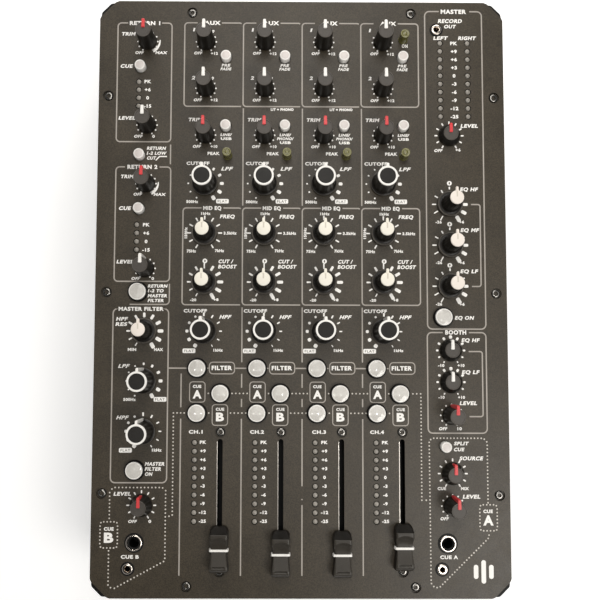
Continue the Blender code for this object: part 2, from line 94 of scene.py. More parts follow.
def surface(name, colour, roughness, variation=0.12, grain=0.6, bump=0.02, blotch=25.0,
            rough_swing=0.08, specks=0.0, mottle=0.0, **uniform):
    """A Principled material whose colour and gloss drift in soft blotches, with a fine grain in its height.

    grain and bump are the width and height of the grains, and blotch is the size of the soft patches.
    specks is the share of pale dust on the surface, and mottle is how much the grain shades it.
    """
    material = bpy.data.materials.new(name)
    material.use_nodes = True
    tree = material.node_tree
    shader = tree.nodes["Principled BSDF"]
    socket_names(shader, **uniform)
    place = tree.nodes.new("ShaderNodeTexCoord").outputs["Object"]

    def noise(size, detail):
        node = tree.nodes.new("ShaderNodeTexNoise")
        tree.links.new(place, node.inputs["Vector"])
        socket_names(node, Scale=1 / (size * MM), Detail=detail, Roughness=0.6)
        return node.outputs["Fac"]

    def ramp(source, *stops):
        node = tree.nodes.new("ShaderNodeValToRGB")
        tree.links.new(source, node.inputs["Fac"])
        for element, stop in zip(node.color_ramp.elements, stops):
            element.position, element.color = stop
        return node.outputs["Color"]

    def mix(source, blend="MIX"):
        node = tree.nodes.new("ShaderNodeMix")
        node.data_type, node.blend_type = "RGBA", blend
        tree.links.new(source, node.inputs["A"])
        return node

    def shade(factor):
        return (*(min(1.0, channel * factor) for channel in colour), 1.0)

    patches = ramp(noise(blotch, 4), (0.3, shade(1 - variation)), (0.7, shade(1 + variation)))
    fine = noise(grain, 3)
    if mottle:
        tint = mix(patches, "MULTIPLY")
        tint.inputs["Factor"].default_value = 1.0
        dark, light = ((1 + sign * mottle,) * 3 + (1,) for sign in (-1, 1))
        tree.links.new(ramp(fine, (0.36, dark), (0.64, light)), tint.inputs["B"])
        patches = tint.outputs["Result"]
    if specks:
        dust = mix(patches)
        start = 0.80 - specks
        white = ramp(noise(1.1, 1), (start, (0, 0, 0, 1)), (start + 0.04, (1, 1, 1, 1)))
        tree.links.new(white, dust.inputs["Factor"])
        dust.inputs["B"].default_value = shade(2.2)
        patches = dust.outputs["Result"]
    tree.links.new(patches, shader.inputs["Base Color"])

    gloss = tree.nodes.new("ShaderNodeMapRange")
    tree.links.new(noise(blotch / 4, 3), gloss.inputs["Value"])
    socket_names(gloss, To_Min=roughness - rough_swing, To_Max=roughness + rough_swing)
    tree.links.new(gloss.outputs["Result"], shader.inputs["Roughness"])

    height = tree.nodes.new("ShaderNodeBump")
    tree.links.new(fine, height.inputs["Height"])
    socket_names(height, Strength=1.0, Distance=bump * MM)
    tree.links.new(height.outputs["Normal"], shader.inputs["Normal"])
    return material


def plastic(name, colour, roughness, variation=0.03):
    return surface(name, colour, roughness, variation, grain=0.8, bump=0.01)


def printed(name, colour, variation, blotch=25.0):
    return surface(name, colour, 0.5, variation, grain=0.4, bump=0.006, blotch=blotch)


POWDER = surface("powder_coat", (0.0415, 0.0325, 0.0205), 0.42, variation=0.14, grain=0.75, bump=0.05,
                 blotch=30, specks=0.035, mottle=0.34, Specular_IOR_Level=0.42)
CASE_PAINT = surface("case_paint", (0.012, 0.011, 0.010), 0.46, grain=0.8, bump=0.03,
                     Specular_IOR_Level=0.3)
PANEL_PAINT = surface("panel_paint", (0.026, 0.024, 0.022), 0.5, grain=0.7, bump=0.03)
KNOB_BLACK = surface("knob_black", (0.0100, 0.0086, 0.0070), 0.34, variation=0.25, grain=0.5, bump=0.012,
                     mottle=0.3, blotch=5, Specular_IOR_Level=0.24)
KNOB_GREY = surface("knob_grey", (0.058, 0.050, 0.042), 0.5, variation=0.10, grain=0.35, bump=0.012,
                    mottle=0.15)
# Painted highlight: a lighter copy of the knob plastic for the light caught on knob rims.
KNOB_RIM_HIGHLIGHT = surface("knob_rim", (0.090, 0.080, 0.068), 0.34, variation=0.10, grain=0.4, bump=0.008)
FADER_GREY = surface("fader_grey", (0.0325, 0.0278, 0.0215), 0.36, variation=0.15, grain=0.45, bump=0.014,
                     mottle=0.2, Specular_IOR_Level=0.32)
WHITE = plastic("white_plastic", (0.88, 0.86, 0.82), 0.35)
CREAM = plastic("cream_plastic", (0.84, 0.80, 0.70), 0.38)
BLUSH = plastic("blush_plastic", (0.82, 0.75, 0.68), 0.38)
# Painted shade: a darker copy of the cap plastic for the shade in a cap's pointer groove.
GROOVE_SHADE = plastic("cap_groove", (0.62, 0.57, 0.49), 0.45, 0.04)
RED = plastic("red_plastic", (0.66, 0.045, 0.05), 0.35, 0.08)
BUTTON_TOP = surface("button_top", (0.63, 0.61, 0.57), 0.10, variation=0.05, grain=0.8, bump=0.004,
                     mottle=0.05, blotch=3, rough_swing=0.03, Specular_IOR_Level=0.7)
BUTTON_RIM = surface("button_rim", (0.90, 0.88, 0.84), 0.25, variation=0.03, grain=1.5, bump=0.01)
SMALL_TOP = plastic("small_button_top", (0.68, 0.63, 0.60), 0.3, 0.04)
INK = printed("legend_ink", (0.93, 0.91, 0.87), 0.03)
LINE_INK = printed("line_ink", (0.39, 0.355, 0.315), 0.10, 18)
DOT_INK = printed("dot_ink", (0.62, 0.58, 0.52), 0.10, 18)
DARK_INK = printed("dark_ink", (0.045, 0.04, 0.035), 0.05)
NICKEL = surface("nickel", (0.76, 0.69, 0.62), 0.17, variation=0.04, grain=0.6, bump=0.002, Metallic=1.0)
# Painted highlight: a pale metal for the line of light caught by the left edge of each fader slot.
PAINTED_SLOT_HIGHLIGHT = surface("bare_edge", (0.56, 0.53, 0.49), 0.30, variation=0.06, grain=0.6, bump=0.004,
                    Metallic=1.0)
BLACK_STEEL = surface("black_steel", (0.26, 0.25, 0.235), 0.22, variation=0.15, grain=0.5, bump=0.006,
                      Metallic=1.0)
LAMP = surface("lamp_lens", (0.27, 0.25, 0.22), 0.3, variation=0.10, grain=0.7, bump=0.012)
INDICATOR = surface("indicator_lens", (0.120, 0.112, 0.026), 0.22, variation=0.12, grain=0.9, bump=0.012,
                    mottle=0.1, blotch=2.5, Transmission_Weight=0.12, Coat_Weight=0.3)
INDICATOR_RIM = surface("indicator_rim", (0.21, 0.20, 0.085), 0.25, variation=0.1, grain=0.9, bump=0.01)
RUBBER = surface("rubber", (0.014, 0.0135, 0.013), 0.75, variation=0.2, grain=0.5, bump=0.03)
INSULATOR = surface("insulator", (0.005, 0.005, 0.005), 0.5, variation=0.2, grain=0.6, bump=0.01,
                    Specular_IOR_Level=0.2)
PHONO_RED = plastic("phono_red", (0.50, 0.03, 0.03), 0.35, 0.08)
PHONO_WHITE = plastic("phono_white", (0.78, 0.77, 0.74), 0.35, 0.04)
BOARD = surface("circuit_board", (0.012, 0.075, 0.030), 0.4, variation=0.3, grain=1.5, bump=0.03, blotch=6)

# ---------------------------------------------------------------- mesh helpers


def to_mesh(bm, name):
    """Turns a bmesh in millimetres into a mesh in metres, and frees it."""
    bmesh.ops.scale(bm, vec=(MM, MM, MM), verts=bm.verts)
    mesh = bpy.data.meshes.new(name)
    bm.to_mesh(mesh)
    bm.free()
    return mesh


def put(name, data):
    obj = bpy.data.objects.new(name, data)
    bpy.context.scene.collection.objects.link(obj)
    return obj


def piece(name, bm, materials, slot, body=BASE, smooth=True):
    """Turns a bmesh of closed bodies into a scene object that rides on a body."""
    mend(bm)
    mesh = to_mesh(bm, name)
    for material in materials if isinstance(materials, tuple) else (materials,):
        mesh.materials.append(material)
    if smooth:
        mesh.shade_smooth()
        mesh.set_sharp_from_angle(angle=math.radians(38))
    obj = put(name, mesh)
    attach(obj, body)
    return obj


def ring_points(count, radius_at, z, x=0.0, y=0.0):
    for i in range(count):
        angle = math.tau * i / count
        radius = radius_at(angle)
        yield (x + radius * math.sin(angle), y + radius * math.cos(angle), z)


REARWARD = Matrix.Rotation(math.radians(-90), 4, "X")


def lathe(bm, profile, x=0.0, y=0.0, sides=48, wave=None, close=False, z=0.0, turn=Matrix()):
    """Turns a profile of (radius, height) pairs. wave scales a row's radius, and close joins its ends."""
    rows = []
    for row, (radius, height) in enumerate(profile):
        if radius < 1e-6:
            points = [(0.0, 0.0, height)]
        else:
            points = ring_points(sides, lambda a: radius * (wave(a, row) if wave else 1), height)
        rows.append([bm.verts.new(turn @ Vector(p) + Vector((x, y, z))) for p in points])
    pairs = list(zip(rows, rows[1:]))
    if close:
        pairs.append((rows[-1], rows[0]))
    for first, second in pairs:
        for i in range(sides):
            j = (i + 1) % sides
            corners = [first[i % len(first)], second[i % len(second)],
                       second[j % len(second)], first[j % len(first)]]
            corners = list(dict.fromkeys(corners))
            if len(corners) > 2:
                bm.faces.new(corners)


def rod(radius, low, high):
    """The profile of a plain cylinder."""
    return [(0.0, low), (radius, low), (radius, high), (0.0, high)]


def over_plate(*profile):
    """Raises a profile whose heights are measured from the faceplate's top."""
    return [(radius, PLATE_TOP + height) for radius, height in profile]


def mend(bm):
    bmesh.ops.recalc_face_normals(bm, faces=bm.faces)


def add(bm, part, material=0):
    """Moves the closed body in part into bm."""
    for face in part.faces:
        face.material_index = material
    mesh = bpy.data.meshes.new("part")
    part.to_mesh(mesh)
    part.free()
    bm.from_mesh(mesh)
    bpy.data.meshes.remove(mesh)


def turned_set(name, profile, places, material, slot, sides=48, close=False):
    """One piece of equal turned bodies, one at each (x, y)."""
    bm = bmesh.new()
    for x, y in places:
        lathe(bm, profile, x, y, sides, close=close)
    piece(name, bm, material, slot)


def loft(bm, *outlines):
    """A closed solid through outlines, which are lists of as many points each."""
    rows = [[bm.verts.new(point) for point in outline] for outline in outlines]
    bm.faces.new(rows[0])
    bm.faces.new(reversed(rows[-1]))
    for a, b in zip(rows, rows[1:]):
        for i in range(len(a)):
            bm.faces.new((a[i - 1], b[i - 1], b[i], a[i]))


def prism(bm, outline, low, high):
    """A closed solid with the outline of (x, y) points between two heights."""
    loft(bm, *([(x, y, z) for x, y in outline] for z in (low, high)))


def box(bm, low, high):
    prism(bm, ((low[0], low[1]), (high[0], low[1]), (high[0], high[1]), (low[0], high[1])), low[2], high[2])


def disc(x, y, radius, sides=10):
    return [(px, py) for px, py, _ in ring_points(sides, lambda a: radius, 0, x, y)][::-1]


def arc(x, y, radius, start, end, steps=6):
    """Points on an arc; the angles are in degrees, clockwise from +Y."""
    for i in range(steps + 1):
        angle = math.radians(start + (end - start) * i / steps)
        yield (x + radius * math.sin(angle), y + radius * math.cos(angle))


def chamfered(half_x, half_y, chamfer):
    """A rectangle whose corners are cut at 45 degrees, with each new corner rounded."""
    corners = []
    for sx, sy in ((1, 1), (1, -1), (-1, -1), (-1, 1)):
        pair = [(sx * (half_x - chamfer), sy * half_y), (sx * half_x, sy * (half_y - chamfer))]
        corners += pair if sx * sy > 0 else pair[::-1]
    points = []
    for i, corner in enumerate(corners):
        here = Vector(corner)
        back = (Vector(corners[i - 1]) - here).normalized() * CORNER_SOFTNESS
        ahead = (Vector(corners[(i + 1) % len(corners)]) - here).normalized() * CORNER_SOFTNESS
        for t in (0.0, 0.25, 0.5, 0.75, 1.0):
            p = (here + back) * (1 - t) ** 2 + here * 2 * t * (1 - t) + (here + ahead) * t ** 2
            points.append((p.x, p.y))
    return points[::-1]


def cut(target, cutter_bm):
    """Cuts a bmesh of tools, which don't overlap each other, from an object's mesh."""
    mend(cutter_bm)
    mesh = to_mesh(cutter_bm, "cutter")
    tool = put("cutter", mesh)
    modifier = target.modifiers.new("cut", "BOOLEAN")
    modifier.object = tool
    modifier.solver = "EXACT"
    graph = bpy.context.evaluated_depsgraph_get()
    made = bpy.data.meshes.new_from_object(target.evaluated_get(graph))
    target.modifiers.clear()
    old = target.data
    target.data = made
    made.name = old.name + "_mesh"
    bpy.data.meshes.remove(old)
    bpy.data.objects.remove(tool)
    bpy.data.meshes.remove(mesh)
    made.shade_smooth()
    made.set_sharp_from_angle(angle=math.radians(30))


# ---------------------------------------------------------------- where things are

KNOB_KINDS = {
    "aux_1": "tall", "aux_2": "tall", "trim": "tall", "level": "tall", "cue_b_level": "mid",
    "booth_high_eq": "low", "booth_low_eq": "low", "master_level": "low", "cue_a_source": "low",
    "mid_frequency": "skirted", "mid_gain": "skirted", "resonance": "skirted", "eq": "skirted",
    "low_pass": "ring", "high_pass": "ring",
}
RED_POINTERS = ("trim", "master_level", "booth_level", "cue_a_source", "cue_a_level", "cue_b_level")


def knob_kind(name):
    for key in sorted(KNOB_KINDS, key=len, reverse=True):
        if key in name:
            return KNOB_KINDS[key]
    raise ValueError(name)


KNOBS = {joint["child"]: (joint["pos_m"][0] / MM, joint["pos_m"][1] / MM)
         for joint in frame["record"]["behaviour"]["joints"] if joint["name"].endswith("_turn")}

# Buttons: body, x, y and whether it is the large kind
BUTTON_PITCH = 39.6
BUTTONS = [
    (body, x + pitch * channel, y, large)
    for body, x, pitch, y, large in (
        ("pre_fade_buttons", -51.3, CHANNEL_PITCH, 160.8, False),
        ("input_select_buttons", -51.3, CHANNEL_PITCH, 113.0, False),
        ("filter_buttons", -68.9, BUTTON_PITCH, -50.5, True),
        ("cue_a_buttons", -53.5, BUTTON_PITCH, -67.1, True),
        ("cue_b_buttons", -68.9, BUTTON_PITCH, -80.0, True),
    )
    for channel in range(CHANNELS)
] + [
    ("left_column_buttons", -109.3, 153.9, False),
    ("left_column_buttons", -109.2, 93.0, False),
    ("left_column_buttons", -109.0, 56.3, False),
    ("left_column_buttons", -108.9, 0.3, True),
    ("left_column_buttons", -109.3, -117.4, True),
    ("right_column_buttons", 94.6, -16.2, True),
    ("right_column_buttons", 95.2, -101.8, False),
]
LARGE_BUTTON_RADIUS = 5.65
SMALL_BUTTON_RADIUS = 3.6
BUTTON_CAP_BOTTOM = 74.4
WEB_END, WEB_HALF, WEB_LOW, WEB_HIGH = 2.0, 1.8, 70.4, 72.4
WEB_X = {"left_column_buttons": -110.3, "right_column_buttons": 93.5}

FADERS = []
for channel in range(CHANNELS):
    low, high = (Vector(corner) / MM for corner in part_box(f"ch{channel + 1}_fader"))
    FADERS.append((f"ch{channel + 1}_fader", (low.x + high.x) / 2, (low.y + high.y) / 2))
SLOT_FRONT, SLOT_REAR, SLOT_HALF = -177.5, -97.0, 1.65
FADER_SCREW_Y = (-92.5, -182.8)

PLATE_SCREWS = [(-74.6, 192.0), (74.6, 192.0), (-130.9, 133.7), (130.7, 133.4), (-129.9, 0.0),
                (130.3, -0.3), (-130.8, -132.5), (130.5, -133.5), (-74.8, -192.3), (74.8, -192.8)]
FADER_SCREWS = [(x, y) for _, x, _ in FADERS for y in FADER_SCREW_Y]

# Lamp columns: name, x, y of the top lamp, pitch and number of lamps
LAMP_COLUMNS = [(f"ch{i + 1}", x, -99.4, 5.69, 10) for i, x in enumerate((-70.2, -30.4, 9.3, 49.5))] + [
    ("return_1", -110.4, 143.6, 5.6, 4), ("return_2", -110.4, 45.5, 5.67, 4),
    ("master_left", 94.4, 171.4, 5.67, 10), ("master_right", 113.1, 171.4, 5.67, 10)]
LAMPS = {name: [(x, y - pitch * i) for i in range(count)] for name, x, y, pitch, count in LAMP_COLUMNS}
LAMP_RADIUS = 1.62
# Indicators: name, x, y and height
INDICATORS = [(f"ch{i + 1}_peak_indicator", x, 92.8, 9.1) for i, x in enumerate((-49.9, -9.9, 30.1, 69.0))]
INDICATORS.append(("power_indicator", 69.1, 173.6, 9.5))

# Sockets in the faceplate: name, x, y, outer radius, bore radius, rise
SOCKETS = [("cue_b_phones", -109.0, -164.3, 5.4, 3.2, 1.35), ("cue_a_phones", 96.0, -164.6, 5.6, 3.2, 1.35),
           ("cue_b_mini", -113.0, -181.0, 3.6, 1.75, 1.1), ("cue_a_mini", 92.2, -181.2, 3.6, 1.75, 1.1),
           ("record_out", 92.0, 180.6, 3.6, 1.75, 1.1)]


# ---------------------------------------------------------------- faceplate and case


def soften(bm, height, offset):
    """Rounds the edges that lie at a height."""
    rims = [e for e in bm.edges if all(abs(v.co.z - height) < 1e-4 for v in e.verts)]
    bmesh.ops.bevel(bm, geom=rims, offset=offset, segments=3, affect="EDGES")


def make_faceplate():
    bm = bmesh.new()
    prism(bm, chamfered(PLATE_X, PLATE_Y, PLATE_CHAMFER), PLATE_BOTTOM, PLATE_TOP)
    soften(bm, PLATE_TOP, 0.45)
    plate = piece("faceplate_panel", bm, (POWDER, INSULATOR), "powder_coat")
    tools = bmesh.new()
    low, high = PLATE_BOTTOM - 2, PLATE_TOP + 2

    def hole(x, y, radius, sides=32, bottom=low):
        prism(tools, disc(x, y, radius, sides), bottom, high)

    for x, y in KNOBS.values():
        hole(x, y, 3.9, 20)
    for _, x, y, large in BUTTONS:
        hole(x, y, 6.75 if large else 4.1, 40)
    for column in LAMPS.values():
        for x, y in column:
            hole(x, y, 2.1, 20)
    for _, x, y, _ in INDICATORS:
        hole(x, y, 3.1, 28)
    for _, x, y, outer, _, _ in SOCKETS:
        hole(x, y, outer - 0.6)
    for x, y in PLATE_SCREWS + FADER_SCREWS:
        hole(x, y, 3.6, 28, PLATE_TOP - 1.3)
    for _, x, _ in FADERS:
        rear = list(arc(x, SLOT_REAR - SLOT_HALF, SLOT_HALF, 90, -90, 10))
        front = list(arc(x, SLOT_FRONT + SLOT_HALF, SLOT_HALF, 270, 90, 10))
        prism(tools, rear + front, low, high)
    cut(plate, tools)
    # Painted shade: the plate's outer edges and the walls of its holes and slots take the near-black
    # insulator, for the shade that falls on these walls.
    for face in plate.data.polygons:
        face.material_index = 1 if abs(face.normal.z) < 0.6 else 0
    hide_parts("faceplate")


def make_case():
    bm = bmesh.new()
    outline = chamfered(CASE_HIGH.x, CASE_HIGH.y, CASE_CHAMFER)
    prism(bm, outline, CASE_BOTTOM, CASE_HIGH.z)
    soften(bm, CASE_BOTTOM, 1.2)
    case = piece("case_shell_skin", bm, (CASE_PAINT, INSULATOR), "case_paint")
    tools = bmesh.new()
    prism(tools, chamfered(CASE_HIGH.x - CASE_WALL, CASE_HIGH.y - CASE_WALL, CASE_CHAMFER - 0.8),
          CASE_BOTTOM + CASE_WALL, CASE_HIGH.z + 3)
    cut(case, tools)
    tools = bmesh.new()
    box(tools, (-125, CASE_HIGH.y - 6, 10), (125, CASE_HIGH.y + 5, CASE_HIGH.z + 5))
    cut(case, tools)
    tools = bmesh.new()
    for side in (-1, 1):
        for row in range(3):
            for column in range(12):
                y = -82.5 + 15 * column
                z = 34 + 9 * row
                ring = [*arc(y - 5, z, 1.3, 180, 0), *arc(y + 5, z, 1.3, 360, 180)]
                walls = (CASE_HIGH.x - 4, CASE_HIGH.x + 2)
                loft(tools, *([(side * x, py, pz) for py, pz in ring] for x in walls))
    cut(case, tools)
    # Painted shade: the case's top rim faces take the near-black insulator, so the strip of case seen past the
    # plate's chamfered corners reads as dark shade.
    for face in case.data.polygons:
        face.material_index = 1 if face.normal.z > 0.9 and face.center.z > (CASE_HIGH.z - 0.5) * MM else 0
    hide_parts("case_shell")
    feet = [(sx * FOOT_X, sy * FOOT_Y) for sx in (-1, 1) for sy in (-1, 1)]
    profile = [(0, 3.2), (3.4, 3.2), (3.4, 0.8), (4.2, 0.0), (9.4, 0.0), (10.6, 1.0), (11.0, 6.0), (0, 6.0)]
    for index, foot in enumerate(feet):
        turned_set(f"rubber_foot_{index + 1}", profile, [foot], RUBBER, "rubber", 40)
    screws("foot_screws", feet, 0.9, facing=-1)


def screws(name, places, top, facing=1):
    """Button-head screws with round sockets. facing -1 turns their heads down."""
    profile = [(0.001, -1.5), (1.35, -1.5), (1.4, -0.1), (1.5, 0.0), (2.1, 0.0), (2.5, -0.25), (2.85, -0.8),
               (2.85, -1.6), (0.001, -1.9)]
    turned_set(name, [(r, top + facing * z) for r, z in profile], places, BLACK_STEEL, "black_steel", 36)


def make_screws():
    screws("plate_screws", PLATE_SCREWS, PLATE_TOP - 0.2)
    screws("fader_screws", FADER_SCREWS, PLATE_TOP - 0.2)
    bm = bmesh.new()
    head = [(0.001, -0.9), (1.2, -0.9), (1.3, 0.25), (2.6, 0.1), (2.9, -0.2), (2.9, -0.9)]
    for side in (-1, 1):
        outward = Matrix.Rotation(math.radians(90) * side, 4, "Y")
        for y in (-150, -50, 50, 150):
            lathe(bm, head, side * (CASE_HIGH.x + 0.05), y, 28, z=70, turn=outward)
    piece("case_screws", bm, BLACK_STEEL, "black_steel")


# ---------------------------------------------------------------- legends

INK_HEIGHT = 0.06
FONT_STEPS = 3
CAP_HEIGHT = 0.729  # of the font's capitals, for a letter size of one
LEAN = 0.22
LINE_WIDTH = 0.85
DOT_RADIUS = 0.525
DIAL_ANGLES = range(-150, 151, 30)
glyph_store = {}


def word_shape(text, bold):
    """Vertices and faces of a string as thin closed letters one unit high, centred on its middle."""
    key = (text, bold)
    if key not in glyph_store:
        curve = bpy.data.curves.new("word", "FONT")
        curve.body = text
        curve.resolution_u = FONT_STEPS
        curve.offset = bold
        curve.space_character = 1.13
        curve.extrude = 0.5
        obj = put("word", curve)
        mesh = bpy.data.meshes.new_from_object(obj.evaluated_get(bpy.context.evaluated_depsgraph_get()))
        shape = bmesh.new()
        shape.from_mesh(mesh)
        bmesh.ops.remove_doubles(shape, verts=shape.verts, dist=1e-5)
        bpy.data.meshes.remove(mesh)
        bpy.data.objects.remove(obj)
        bpy.data.curves.remove(curve)
        xs = [v.co.x for v in shape.verts]
        width, height = max(xs) - min(xs), CAP_HEIGHT + 2 * bold
        mid_x, mid_y = (max(xs) + min(xs)) / 2, CAP_HEIGHT / 2
        points = [((v.co.x - mid_x) / height, (v.co.y - mid_y) / height, v.co.z) for v in shape.verts]
        shape.verts.index_update()
        faces = [[v.index for v in f.verts] for f in shape.faces]
        shape.free()
        glyph_store[key] = points, faces, width / height
    return glyph_store[key]


class Print:
    """Ink on the faceplate: flat shapes kept as thin closed solids in one mesh."""

    def __init__(self, base=PLATE_TOP):
        self.bm = bmesh.new()
        self.low = base - 0.01
        self.high = base + INK_HEIGHT

    def shape(self, outline):
        prism(self.bm, outline, self.low, self.high)

    def stroke(self, points, width, closed=False):
        """A line of even width along points."""
        points = [Vector(p) for p in points]
        count = len(points)
        sides = []
        for i, here in enumerate(points):
            back = points[i - 1] if i or closed else None
            ahead = points[(i + 1) % count] if i + 1 < count or closed else None
            before = (here - back).normalized() if back is not None else (ahead - here).normalized()
            after = (ahead - here).normalized() if ahead is not None else before
            along = (before + after).normalized()
            normal = Vector((-along.y, along.x))
            reach = width / 2 / max(0.5, along.dot(before))
            sides.append((here + normal * reach, here - normal * reach))
        verts = [[self.bm.verts.new((p.x, p.y, z)) for p in pair for z in (self.low, self.high)]
                 for pair in sides]
        for i in range(count if closed else count - 1):
            a, b = verts[i], verts[(i + 1) % count]
            for p, q in ((0, 1), (1, 3), (3, 2), (2, 0)):
                self.bm.faces.new((a[p], a[q], b[q], b[p]))
        if not closed:
            for end in (verts[0], verts[-1]):
                self.bm.faces.new((end[0], end[1], end[3], end[2]))

    def line(self, x0, y0, x1, y1, width=LINE_WIDTH):
        self.stroke([(x0, y0), (x1, y1)], width)

    def dots(self, x0, y0, x1, y1, count):
        for i in range(count):
            t = i / (count - 1)
            self.dot_list((x0 + (x1 - x0) * t, y0 + (y1 - y0) * t))

    def dot_list(self, *places):
        for x, y in places:
            self.shape(disc(x, y, DOT_RADIUS))

    def mark(self, x, y, angle, near, far, width):
        """A radial mark from near to far, with rounded corners. angle is clockwise from +Y."""
        a = math.radians(angle)
        out, across = Vector((math.sin(a), math.cos(a))), Vector((math.cos(a), -math.sin(a)))
        soft = min(width, far - near) * 0.36
        outline = []
        side, low, high = width / 2 - soft, near + soft, far - soft
        corners = ((side, high), (side, low), (-side, low), (-side, high))
        for i, (right, up) in enumerate(corners):
            for p, q in arc(right, up, soft, 90 * i, 90 * i + 90, 3):
                point = Vector((x, y)) + across * p + out * q
                outline.append((point.x, point.y))
        self.shape(outline[::-1])

    def words(self, text, x, y, height, width=None, lean=0.0, bold=None, turn=0):
        if bold is None:
            bold = round(0.046 + 0.016 * max(0.0, 2.5 - height), 3)
        points, faces, ratio = word_shape(text, bold)
        tall = height
        wide = width / ratio if width else height * 1.15
        spin = Matrix.Rotation(math.radians(turn), 2)
        made = []
        for px, py, pz in points:
            flat = spin @ Vector((px * wide + lean * py * tall, py * tall))
            made.append(self.bm.verts.new((x + flat.x, y + flat.y, self.high if pz > 0 else self.low)))
        for face in faces:
            corners = [made[i] for i in face]
            if len(set(corners)) == len(corners):
                try:
                    self.bm.faces.new(corners)
                except ValueError:
                    pass

    def frame(self, left, right, top, bottom, gap, radius=2.5):
        """A rounded frame with a gap in its top line."""
        points = [(gap[1], top), *arc(right - radius, top - radius, radius, 0, 90),
                  *arc(right - radius, bottom + radius, radius, 90, 180),
                  *arc(left + radius, bottom + radius, radius, 180, 270),
                  *arc(left + radius, top - radius, radius, 270, 360), (gap[0], top)]
        self.stroke(points, LINE_WIDTH)

    def rounded(self, x, y, width, height, radius, line=None):
        """A rounded box, filled or, with a line width, as an outline."""
        hx, hy = width / 2 - radius, height / 2 - radius
        points = [p for sx, sy, turn in ((1, 1, 0), (1, -1, 90), (-1, -1, 180), (-1, 1, 270))
                  for p in arc(x + sx * hx, y + sy * hy, radius, turn, turn + 90, 4)]
        if line:
            self.stroke(points, line, closed=True)
        else:
            self.shape(points[::-1])

    def finish(self, name, material, slot):
        piece(name, self.bm, material, slot, smooth=False)


def graded(ink, x, y, near, first, last, skip=None):
    """Radial marks whose (length, width) grows from first to last round the dial."""
    for i, angle in enumerate(DIAL_ANGLES):
        if angle != skip:
            length, width = (a + (b - a) * i / 10 for a, b in zip(first, last))
            ink.mark(x, y, angle, near, near + length, width)


def round_dots(ink, x, y, radius):
    for angle in DIAL_ANGLES:
        a = math.radians(angle)
        ink.shape(disc(x + radius * math.sin(a), y + radius * math.cos(a), 0.575))


def low_pass_dial(ink, x, y):
    for angle in DIAL_ANGLES:
        t = max(0.0, (angle + 30) / 180)
        length, width = 1.15 + 2.1 * t ** 0.8, 1.05 + 1.5 * t
        ink.mark(x, y, angle, 11.3 - length / 2, 11.3 + length / 2, width)


def high_pass_dial(ink, x, y):
    for angle in DIAL_ANGLES:
        if angle < 0:
            size = 1.5 + (-angle - 30) / 120 * 1.1
            ink.mark(x, y, angle, 11.1 - size / 2, 11.1 + size / 2, size)
        else:
            length = 2.5 - angle / 150 * 0.9
            ink.mark(x, y, angle, 11.2 - length / 2, 11.2 + length / 2, 1.15 - angle / 150 * 0.5)


def tone_dial(ink, x, y):
    """Marks that are long and thin at the left, short at the top, and long and wide at the right."""
    for angle in DIAL_ANGLES:
        t = abs(angle) / 150
        if angle < 0:
            length, width = 1.9 + 1.6 * t, 1.0 - 0.2 * t
        else:
            length, width = 1.9 + 2.6 * t ** 1.3, 1.0 + 1.6 * t
        near = {0: 10.2, 30: 9.4, 60: 9.8}.get(angle, 9.0)
        if angle == 60:
            length, width = 1.5, 1.0
        ink.mark(x, y, angle, near, near + length, width)


def drive_wedge(ink, x, y):
    """The crescent that grows round the lower right of a return's trim control."""
    outer = list(arc(x, y, 8.6, 82, 152, 12))
    inner = [(x + r * math.sin(math.radians(a)), y + r * math.cos(math.radians(a)))
             for r, a in ((8.0 - 1.9 * t, 82 + 70 * t) for t in (i / 12 for i in range(13)))]
    ink.shape(outer[::-1] + inner)


CHANNEL_WORDS = (  # text, x and y in channel 1, height, width and perhaps a lean
    ("AUX", -60.8, 185, 3, 11),
    ("1", -73.3, 180.2, 2.6, 1.1, LEAN), ("2", -73.3, 146.6, 2.6, 2.2, LEAN),
    ("0", -60.4, 179, 2.1, 1.7, LEAN), ("0", -60.4, 146.3, 2.1, 1.7, LEAN),
    ("OFF", -70.4, 163.8, 2.1, 5.4, LEAN), ("+12", -59.4, 163.6, 2.1, 4.8),
    ("OFF", -70.4, 131.2, 2.1, 5.4, LEAN), ("+12", -59.3, 131.2, 2.1, 4.8),
    ("PRE", -51.4, 155.4, 2.1, 5.6, LEAN), ("FADE", -51.4, 152.8, 2.1, 7.2, LEAN),
    ("TRIM", -72, 117.6, 2.6, 9.2, LEAN), ("LINE/", -50.9, 107.2, 2, 7.6, LEAN),
    ("OFF", -70.7, 99.1, 2.1, 5.4, LEAN), ("+10", -59.1, 99.1, 2.1, 4.6),
    ("PEAK", -59.3, 94.3, 2.3, 8.3), ("CUTOFF", -69.8, 87.5, 2.5, 15.5),
    ("LPF", -50.1, 83.9, 2.7, 7.2, 0.4), ("500Hz", -73.4, 61.3, 2.1, 8),
    ("MID EQ", -59.9, 57, 2.8, 12.2), ("1kHz", -64.2, 53.25, 2, 6.3),
    ("FREQ", -49.6, 51.3, 2.7, 9.8, LEAN), ("3.5kHz", -47.8, 40, 2.1, 8.7),
    ("75Hz", -73.6, 27.8, 2.1, 6.2), ("7kHz", -54.8, 28.1, 2.1, 6.2),
    ("0", -64.5, 21.2, 3.3, 3.2), ("CUT /", -50.5, 20.9, 2.7, 9.8, LEAN),
    ("BOOST", -49.4, 17.4, 2.7, 12.2, LEAN), ("-20", -72.1, -5, 2, 4.2),
    ("+8", -56.9, -4.8, 2, 3.4), ("CUTOFF", -70.6, -12.3, 2.5, 15.5),
    ("HPF", -50.5, -16.3, 2.7, 7.4, 0.4), ("1kHz", -55.2, -38.5, 2, 6.3),
)
BUTTON_WORDS = (
    ("FILTER", -52.6, -50.2, 3.1, 13.6), ("CUE", -68.9, -62.5, 2.1, 5.6),
    ("A", -68.8, -67.6, 5.9, 5.9), ("CUE", -53.6, -77.5, 2.1, 5.6), ("B", -53.6, -82.4, 6.1, 5.3),
)
LAMP_WORDS = ("PK", "+9", "+6", "+3", "0", "-3", "-6", "-9", "-12", "-25")
CHANNEL_LABEL_X = (-69.5, -29.1, 11.8, 50.1)
